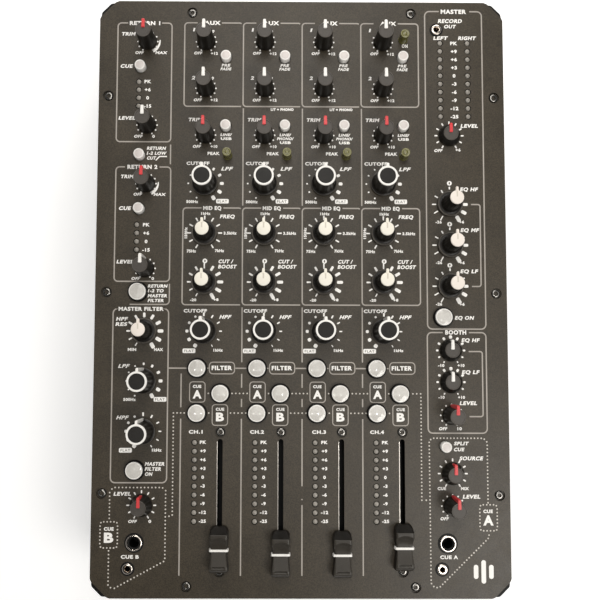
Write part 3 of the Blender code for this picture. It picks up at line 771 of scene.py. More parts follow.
SIDE_WORDS = {
    "left": (
        ("RETURN 1", -106.9, 184.6, 3, 20.8), ("TRIM", -118, 177, 2.6, 9.3, LEAN),
        ("OFF", -110.4, 163.9, 2.1, 5.6, LEAN), ("MAX", -95.4, 163.9, 2.1, 8, LEAN),
        ("CUE", -118.9, 154.5, 2.7, 8.2, LEAN), ("LEVEL", -118, 118.5, 2.6, 11.3, LEAN),
        ("OFF", -110.3, 105.9, 2.1, 5.6, LEAN), ("0", -100, 105.9, 2.1, 1.8),
        ("RETURN", -97.9, 97.7, 2.4, 12.6, LEAN), ("1-2 LOW", -97.7, 94.3, 2.4, 13, LEAN),
        ("CUT", -101.2, 91, 2.4, 6, LEAN), ("RETURN 2", -107.2, 84.9, 3, 20.2),
        ("TRIM", -117.4, 78.3, 2.6, 8.6, LEAN), ("OFF", -110.1, 66.2, 2.1, 5.6, LEAN),
        ("MAX", -95.2, 66.1, 2.1, 8, LEAN), ("CUE", -118.5, 56.7, 2.7, 8, LEAN),
        ("LEVEL", -117.7, 20.5, 2.6, 11.3, LEAN), ("OFF", -110.6, 9.2, 2.1, 5.6, LEAN),
        ("0", -99.2, 9.2, 2.1, 1.8), ("RETURN", -95.8, 4.2, 2.3, 12.8, LEAN),
        ("1-2 TO", -97, 1, 2.3, 10.4, LEAN), ("MASTER", -95.7, -2.3, 2.3, 13, LEAN),
        ("FILTER", -96.8, -5.5, 2.3, 10.8, LEAN), ("MASTER FILTER", -106.6, -11.1, 2.8, 30),
        ("HPF", -119.2, -17.8, 2.6, 7.4, LEAN), ("RES", -119.5, -21.3, 2.6, 7.6, LEAN),
        ("MIN", -112.3, -38.2, 2.1, 5.6), ("MAX", -94.7, -38.2, 2.1, 6),
        ("LPF", -117.4, -49.1, 2.7, 7, 0.4), ("500Hz", -113.4, -71.2, 2.1, 8.3),
        ("HPF", -117.8, -83, 2.7, 7.6, 0.4), ("1kHz", -95, -104.3, 2.1, 6.4),
        ("MASTER", -96, -113.3, 2.5, 13, LEAN), ("FILTER", -97.1, -116.6, 2.5, 10.8, LEAN),
        ("ON", -100.1, -119.9, 2.5, 4.8, LEAN), ("LEVEL", -117, -132.7, 2.6, 11.3, LEAN),
        ("OFF", -110.2, -150.5, 2.1, 5.6, LEAN), ("0", -98.9, -150.5, 2.1, 1.9),
        ("CUE", -125.6, -155.4, 2.4, 6.4), ("B", -125.6, -160.9, 7, 6.2),
        ("CUE B", -111.6, -173.3, 2.5, 11.7),
    ),
    "right": (
        ("MASTER", 104, 193.7, 3.2, 17.5), ("RECORD", 101.6, 187.1, 2.9, 16.3, LEAN),
        ("OUT", 101.5, 183.2, 2.7, 8, LEAN), ("LEFT", 95, 175.1, 2.7, 9.6, LEAN),
        ("RIGHT", 113.1, 175.1, 2.7, 12, LEAN), ("LEVEL", 114, 114, 2.7, 11.8, LEAN),
        ("OFF", 92.6, 96.9, 2.2, 5.4, LEAN), ("+6", 106, 97.4, 2.2, 3.4),
        ("0", 99.8, 74.5, 3.2, 3.3), ("EQ HF", 113.1, 70.4, 2.7, 11.8, LEAN),
        ("-26", 92.3, 48, 2.1, 4.2), ("+6", 107.8, 48.1, 2.1, 3.4),
        ("0", 99.7, 46.6, 3.2, 3.3), ("EQ MF", 113.3, 42.6, 2.7, 12.2, LEAN),
        ("-26", 92.3, 20.5, 2.1, 4.2), ("+6", 107.8, 20.5, 2.1, 3.4),
        ("0", 99.5, 18.8, 3.2, 3.3), ("EQ LF", 112.5, 14.75, 2.7, 11.6, LEAN),
        ("-26", 92, -7.4, 2.1, 4.2), ("+6", 107.4, -7.4, 2.1, 3.4),
        ("EQ ON", 108.9, -16.5, 2.6, 12.4, LEAN), ("BOOTH", 102.9, -26.2, 3.1, 14),
        ("EQ HF", 112.8, -31.4, 2.7, 11.8, LEAN), ("EQ LF", 112.6, -52.6, 2.7, 11.4, LEAN),
        ("-10", 93, -48.2, 2.1, 4.2), ("+10", 106.2, -48.2, 2.1, 4.6),
        ("-10", 93, -69.3, 2.1, 4.2), ("+10", 106.2, -69.3, 2.1, 4.6),
        ("LEVEL", 110.9, -73.1, 2.7, 11.5, LEAN), ("OFF", 93.8, -89.9, 2.2, 5.4, LEAN),
        ("10", 104.7, -89.9, 2.2, 3), ("SPLIT", 105.75, -99.6, 2.5, 9.5, LEAN),
        ("CUE", 104.2, -103.5, 2.5, 6.8, LEAN), ("SOURCE", 112.2, -109.3, 2.7, 15.4, LEAN),
        ("CUE", 92.5, -129, 2.1, 5.6), ("MIX", 107.7, -129, 2.1, 5.2),
        ("LEVEL", 112.2, -134.2, 2.7, 11.5, LEAN), ("OFF", 94.1, -148.5, 2.2, 5.4, LEAN),
        ("CUE", 122.7, -143.7, 2.4, 6.2), ("A", 122.85, -149.4, 7, 6.8),
        ("CUE A", 96.8, -173.3, 2.5, 11.7), ("ON", 70.4, 169.4, 2.7, 4),
    ),
}


def flat_tag(ink, dark, x, y, width=8.5):
    ink.rounded(x, y, width, 3.05, 0.8)
    dark.words("FLAT", x, y, 1.75, width - 2.2, bold=0.0)


def write(ink, words, shift=0.0):
    for text, x, y, height, width, *lean in words:
        ink.words(text, x + shift, y, height, width, *lean)


def channel_legends(channel):
    name = f"ch{channel + 1}"
    ink, line, dark, dots = Print(), Print(), Print(PLATE_TOP + INK_HEIGHT), Print()
    shift = CHANNEL_PITCH * channel
    tag_shift = 39.8 * channel
    last = channel == CHANNELS - 1
    write(ink, CHANNEL_WORDS, shift)
    write(ink, BUTTON_WORDS, tag_shift)
    ink.words("150Hz", -77.5 + shift, 40.1, 2.0, 7.5, turn=90)
    if channel in (1, 2):
        ink.words("PHONO/", -50.9 + shift, 104.6, 2.0, 11.0, LEAN)
        ink.words("USB", -50.9 + shift, 101.9, 2.0, 7.4)
        ink.words("LIT = PHONO", -53.1 + shift, 124.75, 1.9, 15.5)
    else:
        ink.words("USB", -50.9 + shift, 104.5, 2.0, 7.4)
    ink.words(f"CH.{channel + 1}", CHANNEL_LABEL_X[channel], -92.3, 2.5, 9.2)
    for i, text in enumerate(LAMP_WORDS):
        ink.words(text, -64.6 + shift, -99.1 - 5.69 * i, 2.3)
    for row in ("aux_1", "aux_2", "trim"):
        round_dots(ink, *KNOBS[f"{name}_{row}_knob"], 6.75)
    low_pass_dial(ink, *KNOBS[f"{name}_low_pass_knob"])
    high_pass_dial(ink, *KNOBS[f"{name}_high_pass_knob"])
    x, y = KNOBS[f"{name}_mid_frequency_knob"]
    graded(ink, x, y, 9.0, (2.8, 1.0), (2.8, 1.0), skip=-90)
    ink.line(x - 13.0, y, x - 9.0, y, 0.9)
    x, y = KNOBS[f"{name}_mid_gain_knob"]
    graded(ink, x, y, 8.7, (2.4, 0.8), (4.5, 2.3), skip=0)
    ink.line(x, y + 9.0, x, y + 12.6, 0.9)
    flat_tag(ink, dark, -53.1 + shift, 61.6)
    flat_tag(ink, dark, -74.5 + shift, -39.0)

    # The auxiliary and mid frames share their sides with the next channel's frame
    for left, top, bottom, gap in ((-79.7, 184.9, 126.7, (8.7, 25.3)), (-79.5, 57.0, -8.3, (12.4, 27.1))):
        left += 40.05 * channel
        gap = (left + gap[0], left + gap[1])
        if last:
            line.frame(left, 79.6, top, bottom, gap, 2.2)
            continue
        right = left + 38.7
        radius = 2.2
        line.stroke([(right, bottom), *arc(left + radius, bottom + radius, radius, 180, 270),
                     *arc(left + radius, top - radius, radius, 270, 360), (gap[0], top)], 0.85)
        line.stroke([(gap[1], top), (right - 1.0, top), (right, top - 0.4)], 0.85)
    if channel:
        for top, bottom in ((125.4, 58.7), (-10.0, -46.5), (-54.2, -63.3), (-70.7, -76.0)):
            line.line(left, top, left, bottom)
        fader_line = [(-83.8, -185.4)]
        if channel == 2:
            fader_line = [(-83.8, -127.7), (-135.9, -136.7), (-139.9, -185.4)]
    else:
        line.line(-79.5, -54.1, -79.5, -76.3)
        fader_line = [(-83.8, -185.3)]
    for top, bottom in fader_line:
        line.line(left, top, left, bottom)

    # Filter row: a solid line links buttons and labels
    filter_shift = 39.9 * channel
    line.rounded(-52.55 + filter_shift, -50.35, 16.7, 7.7, 2.3, 0.65)
    line.line(-62.6 + tag_shift, -50.5, -61.4 + tag_shift, -50.5, 0.8)
    if channel == 0:
        line.line(-88.2, -50.5, -76.0, -50.5)
    if not last:
        line.line(-43.7 + filter_shift, -50.5, -36.3 + BUTTON_PITCH * channel, -50.5)

    # Cue rows: dotted lines link them
    line.rounded(-68.7 + tag_shift, -66.2, 10.2, 13.4, 2.0, 0.62)
    line.rounded(-53.65 + tag_shift, -81.3, 10.2, 13.6, 2.0, 0.62)
    dots.dot_list((-61.4 + tag_shift, -67.1), (-61.0 + tag_shift, -80.0))
    if last:
        dots.dots(74.0, -67.1, 79.1, -67.1, 3)
        dots.dots(79.3, -69.5, 79.3, -136.6, 30)
        dots.dot_list((82.2, -136.6))
    else:
        dots.dots(-45.75 + tag_shift, -67.1, -35.75 + tag_shift, -67.1, 5)
        dots.dots(-46.7 + tag_shift, -80.0, -36.6 + tag_shift, -80.0, 5)
    if channel == 0:
        dots.dots(-84.3, -80.0, -77.2, -80.0, 4)
        dots.dots(-84.3, -82.4, -84.3, -146.4, 28)
        dots.dot_list((-86.4, -147.2))
    ink.finish(f"{name}_legends", INK, "legend_ink")
    line.finish(f"{name}_lines", LINE_INK, "line_ink")
    dark.finish(f"{name}_flat_words", DARK_INK, "powder_coat")
    dots.finish(f"{name}_link_dots", DOT_INK, "line_ink")


def cue_tag(dots, x, y):
    """A small dotted box, 11.4 x 16.7, centred on x and y."""
    for side in (-1, 1):
        dots.dots(x - 3.35, y + side * 8.4, x + 3.35, y + side * 8.4, 4)
        dots.dots(x + side * 5.7, y - 5.6, x + side * 5.7, y + 5.6, 6)
        dots.dot_list((x + side * 5.2, y + 7.8), (x + side * 5.2, y - 7.8))


def left_legends():
    ink, line, dark, dots = Print(), Print(), Print(PLATE_TOP + INK_HEIGHT), Print()
    write(ink, SIDE_WORDS["left"])
    for x, y in ((-104.4, 143.8), (-104.0, 45.5)):
        for i, text in enumerate(("PK", "+6", "0", "-15")):
            ink.words(text, x, y - 5.67 * i, 2.5)
    for number in (1, 2):
        trim = KNOBS[f"return_{number}_trim_knob"]
        round_dots(ink, *trim, 6.75)
        drive_wedge(ink, *trim)
        round_dots(ink, *KNOBS[f"return_{number}_level_knob"], 6.75)
    graded(ink, *KNOBS["filter_resonance_knob"], 9.0, (2.4, 0.8), (4.2, 2.6))
    low_pass_dial(ink, *KNOBS["master_low_pass_knob"])
    high_pass_dial(ink, *KNOBS["master_high_pass_knob"])
    graded(ink, *KNOBS["cue_b_level_knob"], 7.8, (2.0, 0.9), (2.0, 0.9))
    ink.stroke([(-98.3, 89.3), (-95.8, 92.0), (-90.8, 92.0)], 0.8)
    flat_tag(ink, dark, -93.3, -71.1)
    flat_tag(ink, dark, -115.6, -104.5)
    line.frame(-125.2, -88.4, 184.6, 102.1, (-118.4, -95.3))
    line.line(-88.4, 100.2, -88.4, 86.7)
    line.frame(-125.0, -88.1, 84.8, 7.25, (-119.0, -95.7))
    line.stroke([(-88.0, 5.6), *arc(-90.5, -5.7, 2.5, 90, 180), (-114.3, -8.2)], 0.85)
    line.frame(-125.2, -88.3, -11.1, -125.6, (-122.4, -91.0), 3.0)

    dots.dots(-121.9, -128.7, -93.0, -128.7, 13)
    dots.dots(-125.4, -132.0, -125.4, -148.6, 8)
    dots.dots(-125.5, -169.5, -125.5, -191.3, 10)
    dots.dots(-88.8, -130.7, -88.8, -174.2, 19)
    dots.dots(-89.6, -176.3, -121.3, -193.4, 16)
    dots.dot_list((-124.0, -129.7), (-90.8, -128.9), (-123.8, -193.0))
    cue_tag(dots, -125.6, -159.25)
    ink.finish("left_legends", INK, "legend_ink")
    line.finish("left_lines", LINE_INK, "line_ink")
    dark.finish("left_flat_words", DARK_INK, "powder_coat")
    dots.finish("cue_b_dots", DOT_INK, "line_ink")


def right_legends():
    ink, line, dots = Print(), Print(), Print()
    write(ink, SIDE_WORDS["right"])
    for i, text in enumerate(LAMP_WORDS):
        ink.words(text, 103.9, 171.4 - 5.67 * i, 2.6)
    graded(ink, *KNOBS["master_level_knob"], 7.9, (2.0, 0.95), (2.0, 0.95))
    graded(ink, *KNOBS["cue_a_source_knob"], 7.9, (2.0, 0.95), (2.0, 0.95))
    for band in ("high", "mid", "low"):
        tone_dial(ink, *KNOBS[f"master_{band}_eq_knob"])
    for band in ("high", "low"):
        for angle in DIAL_ANGLES:
            size = 1.1 + 1.0 * (1 - abs(angle) / 150)
            ink.mark(*KNOBS[f"booth_{band}_eq_knob"], angle, 8.9 - size * 0.55, 8.9 + size * 0.55,
                     size * 0.85 + (0.3 if angle == 0 else 0))
    round_dots(ink, *KNOBS["booth_level_knob"], 7.2)
    round_dots(ink, *KNOBS["cue_a_level_knob"], 7.2)
    for i, height in enumerate((9.0, 15.0, 9.0)):
        ink.rounded(114.3 + 5.0 * i, -182.7, 3.0, height, 1.4)
    line.frame(84.2, 123.1, 193.7, -24.1, (93.9, 114.8), 3.2)
    line.stroke([(114.3, 60.0), *arc(118.8, 58.5, 1.5, 0, 90, 4), *arc(118.8, 6.0, 1.5, 90, 180, 4),
                 (114.2, 4.5)], 0.85)
    line.frame(83.9, 123.0, -26.4, -92.9, (94.2, 111.7), 3.0)
    line.stroke([(111.4, -39.0), *arc(118.9, -40.5, 1.5, 0, 90, 4), *arc(118.9, -80.5, 1.5, 90, 180, 4),
                 (111.4, -82.0)], 0.85)
    dots.dots(87.5, -96.2, 118.9, -96.2, 15)
    dots.dots(84.5, -98.9, 84.9, -188.0, 39)
    dots.dots(122.8, -100.8, 122.8, -138.2, 17)
    dots.dots(121.0, -162.8, 90.8, -192.2, 20)
    dots.dot_list((85.5, -97.1), (120.9, -96.8), (122.5, -98.5), (123.15, -159.1), (122.55, -161.2),
                  (88.7, -192.8), (86.6, -192.1), (85.1, -190.2))
    cue_tag(dots, 123.0, -147.9)
    ink.finish("right_legends", INK, "legend_ink")
    line.finish("right_lines", LINE_INK, "line_ink")
    dots.finish("cue_a_dots", DOT_INK, "line_ink")


# ---------------------------------------------------------------- knobs


def flutes(count, depth, rows):
    """A wave for lathe(): shallow grip flutes on the given rows of a profile."""
    def wave(angle, row):
        if row not in rows:
            return 1.0
        return 1.0 - depth * (0.5 - 0.5 * math.cos(count * angle)) ** 2
    return wave


def blade(x, y, outline, width, tip):
    """A fin in the plane through a knob's axis and 12 o'clock, as a bmesh of its own.

    outline is (radius, height) points; the fin narrows from width at the innermost to tip at the outermost.
    """
    bm = bmesh.new()
    near, far = min(outline)[0], max(outline)[0]

    def side(sign):
        for radius, z in outline:
            half = (width + (tip - width) * (radius - near) / (far - near)) / 2
            yield (x + sign * half, y + radius, z)

    loft(bm, list(side(-1)), list(side(1)))
    mend(bm)
    bmesh.ops.bevel(bm, geom=list(bm.edges), offset=tip * 0.16, segments=2, affect="EDGES")
    return bm


def paint(bm, x, y, zones):
    """Gives each zone's material to the faces whose middle is in its range of radius and height."""
    for face in bm.faces:
        middle = face.calc_center_median()
        radius = math.hypot(middle.x - x, middle.y - y)
        for material, (near, far), (low, high) in zones:
            if near <= radius <= far and low <= middle.z <= high:
                face.material_index = material


def knob_body(name, x, y, profile, sides, wave, zones, *materials):
    """Turns a knob from its top down, and ends it with its spindle below the plate."""
    low = PLATE_TOP + KNOB_LIFT
    foot = low - SPINDLE_DEPTH
    bm = bmesh.new()
    lathe(bm, profile + [(3.2, low), (3.0, foot), (0.0, foot)], x, y, sides, wave)
    paint(bm, x, y, zones)
    body = piece(f"{name}_body", bm, (KNOB_BLACK, *materials), "knob_plastic", name)
    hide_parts(name)


def pointer_knob(name, x, y, top, tall, accent):
    """A tapered knob with a grey cap, whose edge is chamfered, and a coloured fin."""
    low = PLATE_TOP + KNOB_LIFT
    base = 6.3 if tall else 7.35
    crown = 5.1
    profile = [(0.0, top - 0.22), (crown - 0.95, top - 0.22), (crown - 0.75, top - 0.02),
               (crown - 0.42, top), (crown - 0.06, top - 0.32), (crown, top - 0.6),
               (crown + 0.12, top - 1.3), (crown + (base - crown) * 0.55, low + 3.0), (base - 0.25, low + 1.2),
               (base, low + 0.4), (base - 0.3, low)]
    # Painted highlight: a lighter band round the cap's chamfered edge.
    zones = ((1, (0, crown), (top - 0.24, top)), (2, (crown - 0.4, crown), (top - 0.3, top - 0.05)))
    knob_body(name, x, y, profile, 60, flutes(20, 0.045, (6, 7, 8)), zones, KNOB_GREY, KNOB_RIM_HIGHLIGHT)
    reach = 7.5 if tall else 7.0
    inner = 1.2 if tall else 0.4
    outline = [(inner, top - 0.6), (inner, top + 0.5), (reach - 0.7, top + 0.5), (reach, top - 0.3),
               (reach - 0.1, low + 0.2), (base - 1.2, low + 0.2), (crown - 1.2, top - 0.6)]
    slot = "red_plastic" if accent is RED else "white_plastic"
    piece(f"{name}_pointer", blade(x, y, outline, 2.3, 1.8), accent, slot, name)


def skirted_knob(name, x, y, top, cap_material):
    """A narrow knob with a pale cap and a wide dark skirt that has a rounded rim."""
    low = PLATE_TOP + KNOB_LIFT
    profile = [(0.0, top - 1.2), (4.6, top - 1.2), (4.95, top - 1.6), (5.3, low + 5.0), (6.0, low + 2.6),
               (6.4, low + 2.2), (7.5, low + 2.05), (7.75, low + 2.3), (8.1, low + 2.35), (8.4, low + 2.1),
               (8.5, low + 1.7), (8.5, low + 0.3), (8.2, low)]
    # Painted highlight: a lighter band on the skirt's rounded rim.
    zones = ((1, (7.5, 8.5), (low + 1.8, low + 2.4)),)
    knob_body(name, x, y, profile, 64, flutes(18, 0.05, (2, 3, 4)), zones, KNOB_RIM_HIGHLIGHT)
    bm = bmesh.new()
    cap = [(0.0, top - 1.4), (4.4, top - 1.4), (4.5, top - 0.5), (4.25, top - 0.12), (3.8, top), (0.0, top)]
    lathe(bm, cap, x, y, 56)
    outline = [(3.6, top - 1.4), (3.6, top + 0.25), (6.5, top + 0.25), (7.0, top - 0.2), (6.9, top - 1.6),
               (5.0, top - 2.4)]
    add(bm, blade(x, y, outline, 2.0, 1.5))
    # Painted shade: a flat darker strip on the cap stands in for the shade in its pointer groove.
    line = bmesh.new()
    box(line, (x - 0.45, y + 0.3, top - 0.05), (x + 0.45, y + 3.6, top + 0.05))
    add(bm, line, 1)
    piece(f"{name}_cap", bm, (cap_material, GROOVE_SHADE), "white_plastic", name)


def ring_knob(name, x, y, top, rib):
    """A wide knob with a black cap inside a white ring, a skirt, and a white rib at 12 o'clock."""
    low = PLATE_TOP + KNOB_LIFT
    profile = [(0.0, top - 0.2), (4.95, top - 0.2), (5.1, top - 0.35), (5.1, top - 0.9), (6.4, top - 0.9),
               (6.55, top - 1.4), (6.85, low + 5.0), (7.2, low + 3.0), (7.55, low + 2.4), (8.1, low + 2.2),
               (8.25, low + 2.15), (8.5, low + 1.85), (8.5, low + 0.3), (8.2, low)]
    # Painted highlight: a lighter band on the skirt's rounded rim.
    zones = ((1, (8.25, 8.5), (low + 1.8, low + 2.2)),)
    knob_body(name, x, y, profile, 64, flutes(22, 0.035, (5, 6, 7)), zones, KNOB_RIM_HIGHLIGHT)
    bm = bmesh.new()
    ring = [(5.2, top - 1.2), (5.2, top - 0.12), (5.32, top), (6.3, top), (6.5, top - 0.25),
            (6.5, top - 1.2)]
    lathe(bm, ring, x, y, 64, close=True)
    outline = [(5.9, top - 1.2), (5.9, top + 0.1), (7.9, top + 0.1), (8.7, top - 0.9), (8.75, low + 0.3),
               (7.0, low + 0.3)]
    add(bm, blade(x, y, outline, rib, rib * 0.9))
    piece(f"{name}_ring", bm, WHITE, "white_plastic", name)


def make_knobs():
    for name, (x, y) in KNOBS.items():
        kind = knob_kind(name)
        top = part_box(name)[1][2] / MM - 0.35
        if kind in ("tall", "mid", "low"):
            red = any(key in name for key in RED_POINTERS)
            pointer_knob(name, x, y, top, kind == "tall", RED if red else WHITE)
        elif kind == "skirted":
            skirted_knob(name, x, y, top, CREAM if name.startswith("ch") else BLUSH)
        else:
            ring_knob(name, x, y, top, 2.1 if name.startswith("ch") else 1.7)


# ---------------------------------------------------------------- faders and buttons

CAP_HALF_Y = 14.75
CAP_BASE = PLATE_TOP + 1.5
GRID_X, GRID_Y = 20, 96
CAP_LOWEST, CAP_RIDGE, CAP_CREST = 6.4, 9.6, 8.6  # heights over the faceplate
RIDGE_FRONT, RIDGE_REAR = 8.7, 10.7
CREST_REAR, CREST_FRONT = -10.0, -12.0
FINGER_GROOVE_Y = -10.6


def cap_height(u, y):
    """Height of a fader cap's top above the faceplate at u across, from -1 to 1, and y along.

    The rear half is a scoop that curves up to the ridge. The front half rises evenly to a lower crest.
    """
    if y >= 0:
        t = min(1.0, y / (RIDGE_FRONT - 1.9 * u * u))
        height = CAP_LOWEST + (CAP_RIDGE - CAP_LOWEST) * t ** 2.8
        return height - 6.4 * max(0.0, (y - RIDGE_REAR) / (CAP_HALF_Y - RIDGE_REAR)) ** 0.9
    t = min(1.0, y / CREST_REAR)
    height = CAP_LOWEST + (CAP_CREST - CAP_LOWEST) * t ** 1.25
    if abs(u) < 0.62:
        height -= 0.8 * math.exp(-((y - FINGER_GROOVE_Y) / 0.42) ** 2)
    return height - 3.2 * max(0.0, (CREST_FRONT - y) / (CREST_FRONT + CAP_HALF_Y)) ** 1.3


def cap_half_width(y):
    """The cap is narrowest just in front of its line, flares to its foot and is rounded at the rear."""
    if y >= 0:
        return 5.45 + 0.7 * min(1.0, y / 6.0) ** 1.5 - 2.1 * max(0.0, (y - 11.4) / (CAP_HALF_Y - 11.4)) ** 2
    return 5.3 + 1.0 * min(1.0, -y / 11.0) ** 1.6 - 0.7 * max(0.0, (-y - 13.6) / (CAP_HALF_Y - 13.6)) ** 2


def fader_cap(name, x, y):
    bm = bmesh.new()
    rows = []
    for j in range(GRID_Y + 1):
        v = -CAP_HALF_Y + 2 * CAP_HALF_Y * j / GRID_Y
        half = cap_half_width(v)
        row = [(x - half, y + v, CAP_BASE)]
        for i in range(GRID_X + 1):
            u = -1 + 2 * i / GRID_X
            soft = 0.75 * max(0.0, abs(u) - 0.86) / 0.14
            row.append((x + u * (half - 0.4), y + v * 0.985, PLATE_TOP + cap_height(u, v) - soft ** 2))
        row.append((x + half, y + v, CAP_BASE))
        rows.append([bm.verts.new(p) for p in row])
    for first, second in zip(rows, rows[1:]):
        for i in range(len(first) - 1):
            bm.faces.new((first[i], first[i + 1], second[i + 1], second[i]))
    bm.faces.new(rows[0])
    bm.faces.new(reversed(rows[-1]))
    bm.faces.new([r[0] for r in rows] + [r[-1] for r in reversed(rows)])
    mend(bm)
    # Painted shade: the cap's rear slope and steep sides take the darker knob black in place of the cap's
    # grey, for the dark reflection and shade on these faces.
    for face in bm.faces:
        middle = face.calc_center_median()
        face.material_index = 1 if middle.y - y > RIDGE_REAR or abs(face.normal.z) < 0.35 else 0
    cap = piece(f"{name}_cap", bm, (FADER_GREY, KNOB_BLACK), "fader_plastic", name)
    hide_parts(name)

    # The white line stands proud of the cap and wraps down its sides
    line_top = CAP_LOWEST + 0.5
    path = [(-6.3, 2.6), (-6.2, line_top - 0.8), (-5.7, line_top - 0.15)]
    path += [(i, line_top) for i in range(-5, 6)] + [(-px, pz) for px, pz in reversed(path)]
    bm = bmesh.new()
    corners = ((1.0, -0.72, 0.0), (1.0, 0.72, 0.0), (0.84, 0.72, -0.9), (0.84, -0.72, -0.9))
    loft(bm, *([(x + px * k, y + s, PLATE_TOP + pz + drop) for k, s, drop in corners] for px, pz in path))
    piece(f"{name}_line", bm, WHITE, "white_plastic", name)

    bm = bmesh.new()
    box(bm, (x - 0.7, y - 3.0, 61.0), (x + 0.7, y + 3.0, CAP_BASE + 0.5))
    bmesh.ops.bevel(bm, geom=list(bm.edges), offset=0.2, segments=2, affect="EDGES")
    piece(f"{name}_lever", bm, NICKEL, "nickel", name)


def slot_liner(name, x):
    """The track seen under a fader's slot, and a pale metal strip on the slot's left edge only: a painted
    highlight for the light that edge catches from the right.
    """
    bm = bmesh.new()
    box(bm, (x - 4.5, SLOT_FRONT - 6, 69.0), (x + 4.5, SLOT_REAR + 6, 70.0))
    piece(f"{name}_dust_guard", bm, INSULATOR, "insulator", smooth=False)
    bm = bmesh.new()
    # Painted highlight: a pale strip on the left edge only, standing in for light caught by that edge.
    near, far = x - SLOT_HALF - 0.5, x - SLOT_HALF - 0.05
    box(bm, (near, SLOT_FRONT + SLOT_HALF, PLATE_TOP - 0.3), (far, SLOT_REAR - SLOT_HALF, PLATE_TOP + 0.06))
    piece(f"{name}_slot_highlight_strip", bm, PAINTED_SLOT_HIGHLIGHT, "black_steel")


def make_faders():
    for name, x, y in FADERS:
        fader_cap(name, x, y)
        slot_liner(name, x)


def button(name, body, x, y, large):
    """A domed button whose face sits inside a brighter rounded rim."""
    top = PLATE_TOP + (4.0 if large else 4.4)
    radius = LARGE_BUTTON_RADIUS if large else SMALL_BUTTON_RADIUS
    soft, dome = (0.62, 0.55) if large else (0.85, 0.3)
    face_radius = radius - soft - 0.15
    profile = [(face_radius * i / 6, top - dome * (i / 6) ** 2) for i in range(7)]
    edge = top - dome + 0.12
    for i in range(6):
        a = math.radians(18 * i)
        profile.append((radius - soft + soft * math.sin(a), edge - soft + soft * math.cos(a)))
    profile += [(radius, BUTTON_CAP_BOTTOM), (0.0, BUTTON_CAP_BOTTOM)]
    bm = bmesh.new()
    lathe(bm, profile, x, y, 48)
    paint(bm, x, y, ((1, (0, face_radius), (top - dome - 0.02, top)),))
    mend(bm)
    face = BUTTON_TOP if large else SMALL_TOP
    piece(name, bm, (BUTTON_RIM, face), "button_plastic", body)


def make_buttons():
    groups = {}
    for body, x, y, large in BUTTONS:
        groups.setdefault(body, []).append((x, y, large))
    for body, members in groups.items():
        for index, (x, y, large) in enumerate(members):
            button(f"{body[:-1]}_{index + 1}", body, x, y, large)
        xs, ys = [m[0] for m in members], [m[1] for m in members]
        bm = bmesh.new()
        web_x = WEB_X.get(body)
        if web_x is None:
            low, high = (min(xs) - WEB_END, ys[0] - WEB_HALF), (max(xs) + WEB_END, ys[0] + WEB_HALF)
        else:
            low, high = (web_x - WEB_HALF, min(ys) - WEB_END), (web_x + WEB_HALF, max(ys) + WEB_END)
        box(bm, (*low, WEB_LOW), (*high, WEB_HIGH))
        stem = rod(1.6, WEB_HIGH - 0.1, BUTTON_CAP_BOTTOM + 0.1)
        for x, y, _ in members:
            lathe(bm, stem, web_x or x, y, 20)
        link = piece(f"{body}_link", bm, INSULATOR, "button_plastic", body)
        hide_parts(body)
    sleeve = over_plate((5.9, -2.4), (5.9, 2.4), (6.05, 2.6), (6.35, 2.5), (6.55, 2.1), (6.7, -2.4))
    places = [(x, y) for _, x, y, large in BUTTONS if large]
    turned_set("button_sleeves", sleeve, places, INSULATOR, "insulator", 48, close=True)


# ---------------------------------------------------------------- lamps, sockets and the rear


def make_lamps():
    dome = [(LAMP_RADIUS * math.sin(a), 0.7 * math.cos(a) - 0.2)
            for a in (math.radians(20 * i) for i in range(5))]
    profile = over_plate(*dome, (LAMP_RADIUS, -0.4), (LAMP_RADIUS, -4.0), (0.0, -4.0))
    for name, places in LAMPS.items():
        turned_set(f"{name}_lamps", profile, places, LAMP, "lamp_lens", 24)
    for name, x, y, height in INDICATORS:
        top = PLATE_TOP + height
        profile = [(0.0, top), (0.75, top), (1.0, top - 0.15), (2.1, top - 0.15), (2.35, top),
                   (2.65, top - 0.03), (2.85, top - 0.2), (2.9, top - 0.6)]
        profile += over_plate((2.95, 1.2), (3.2, 1.0), (3.2, 0.1), (2.95, 0.0), (2.95, -4.0), (0.0, -4.0))
        bm = bmesh.new()
        lathe(bm, profile, x, y, 36)
        paint(bm, x, y, ((1, (0, 0.75), (top - 0.05, top)), (1, (2.2, 2.87), (top - 0.22, top))))
        piece(name, bm, (INDICATOR, INDICATOR_RIM), "indicator_lens")


def make_sockets():
    washers, barrels = bmesh.new(), bmesh.new()
    for name, x, y, outer, bore, rise in SOCKETS:
        inner = outer - 1.35 if outer > 5 else bore
        profile = over_plate(
            (inner, -8), (inner, rise - 0.35), (inner + 0.2, rise - 0.02), (inner + 0.35, rise),
            (outer - 0.5, rise), (outer - 0.2, rise - 0.2), (outer, 0.35), (outer, 0.02),
            (outer - 0.65, -0.3), (outer - 0.65, -8))
        turned_set(f"{name}_ferrule", profile, [(x, y)], NICKEL, "nickel", 56, close=True)
        washer = over_plate((outer - 0.3, -0.02), (outer - 0.3, 0.28), (outer + 0.75, 0.28),
                            (outer + 0.95, 0.1), (outer + 0.95, -0.02))
        lathe(washers, washer, x, y, 56, close=True)
        rim = rise - 0.5 if inner > bore else -7
        barrel = over_plate((0.0, -15), (inner - 0.02, -15), (inner - 0.02, rim), (bore - 0.02, rim - 0.6),
                            (bore - 0.02, -14), (0.0, -14))
        lathe(barrels, barrel, x, y, 32)
    for name, bm in (("socket_washers", washers), ("socket_barrels", barrels)):
        piece(name, bm, INSULATOR, "insulator")


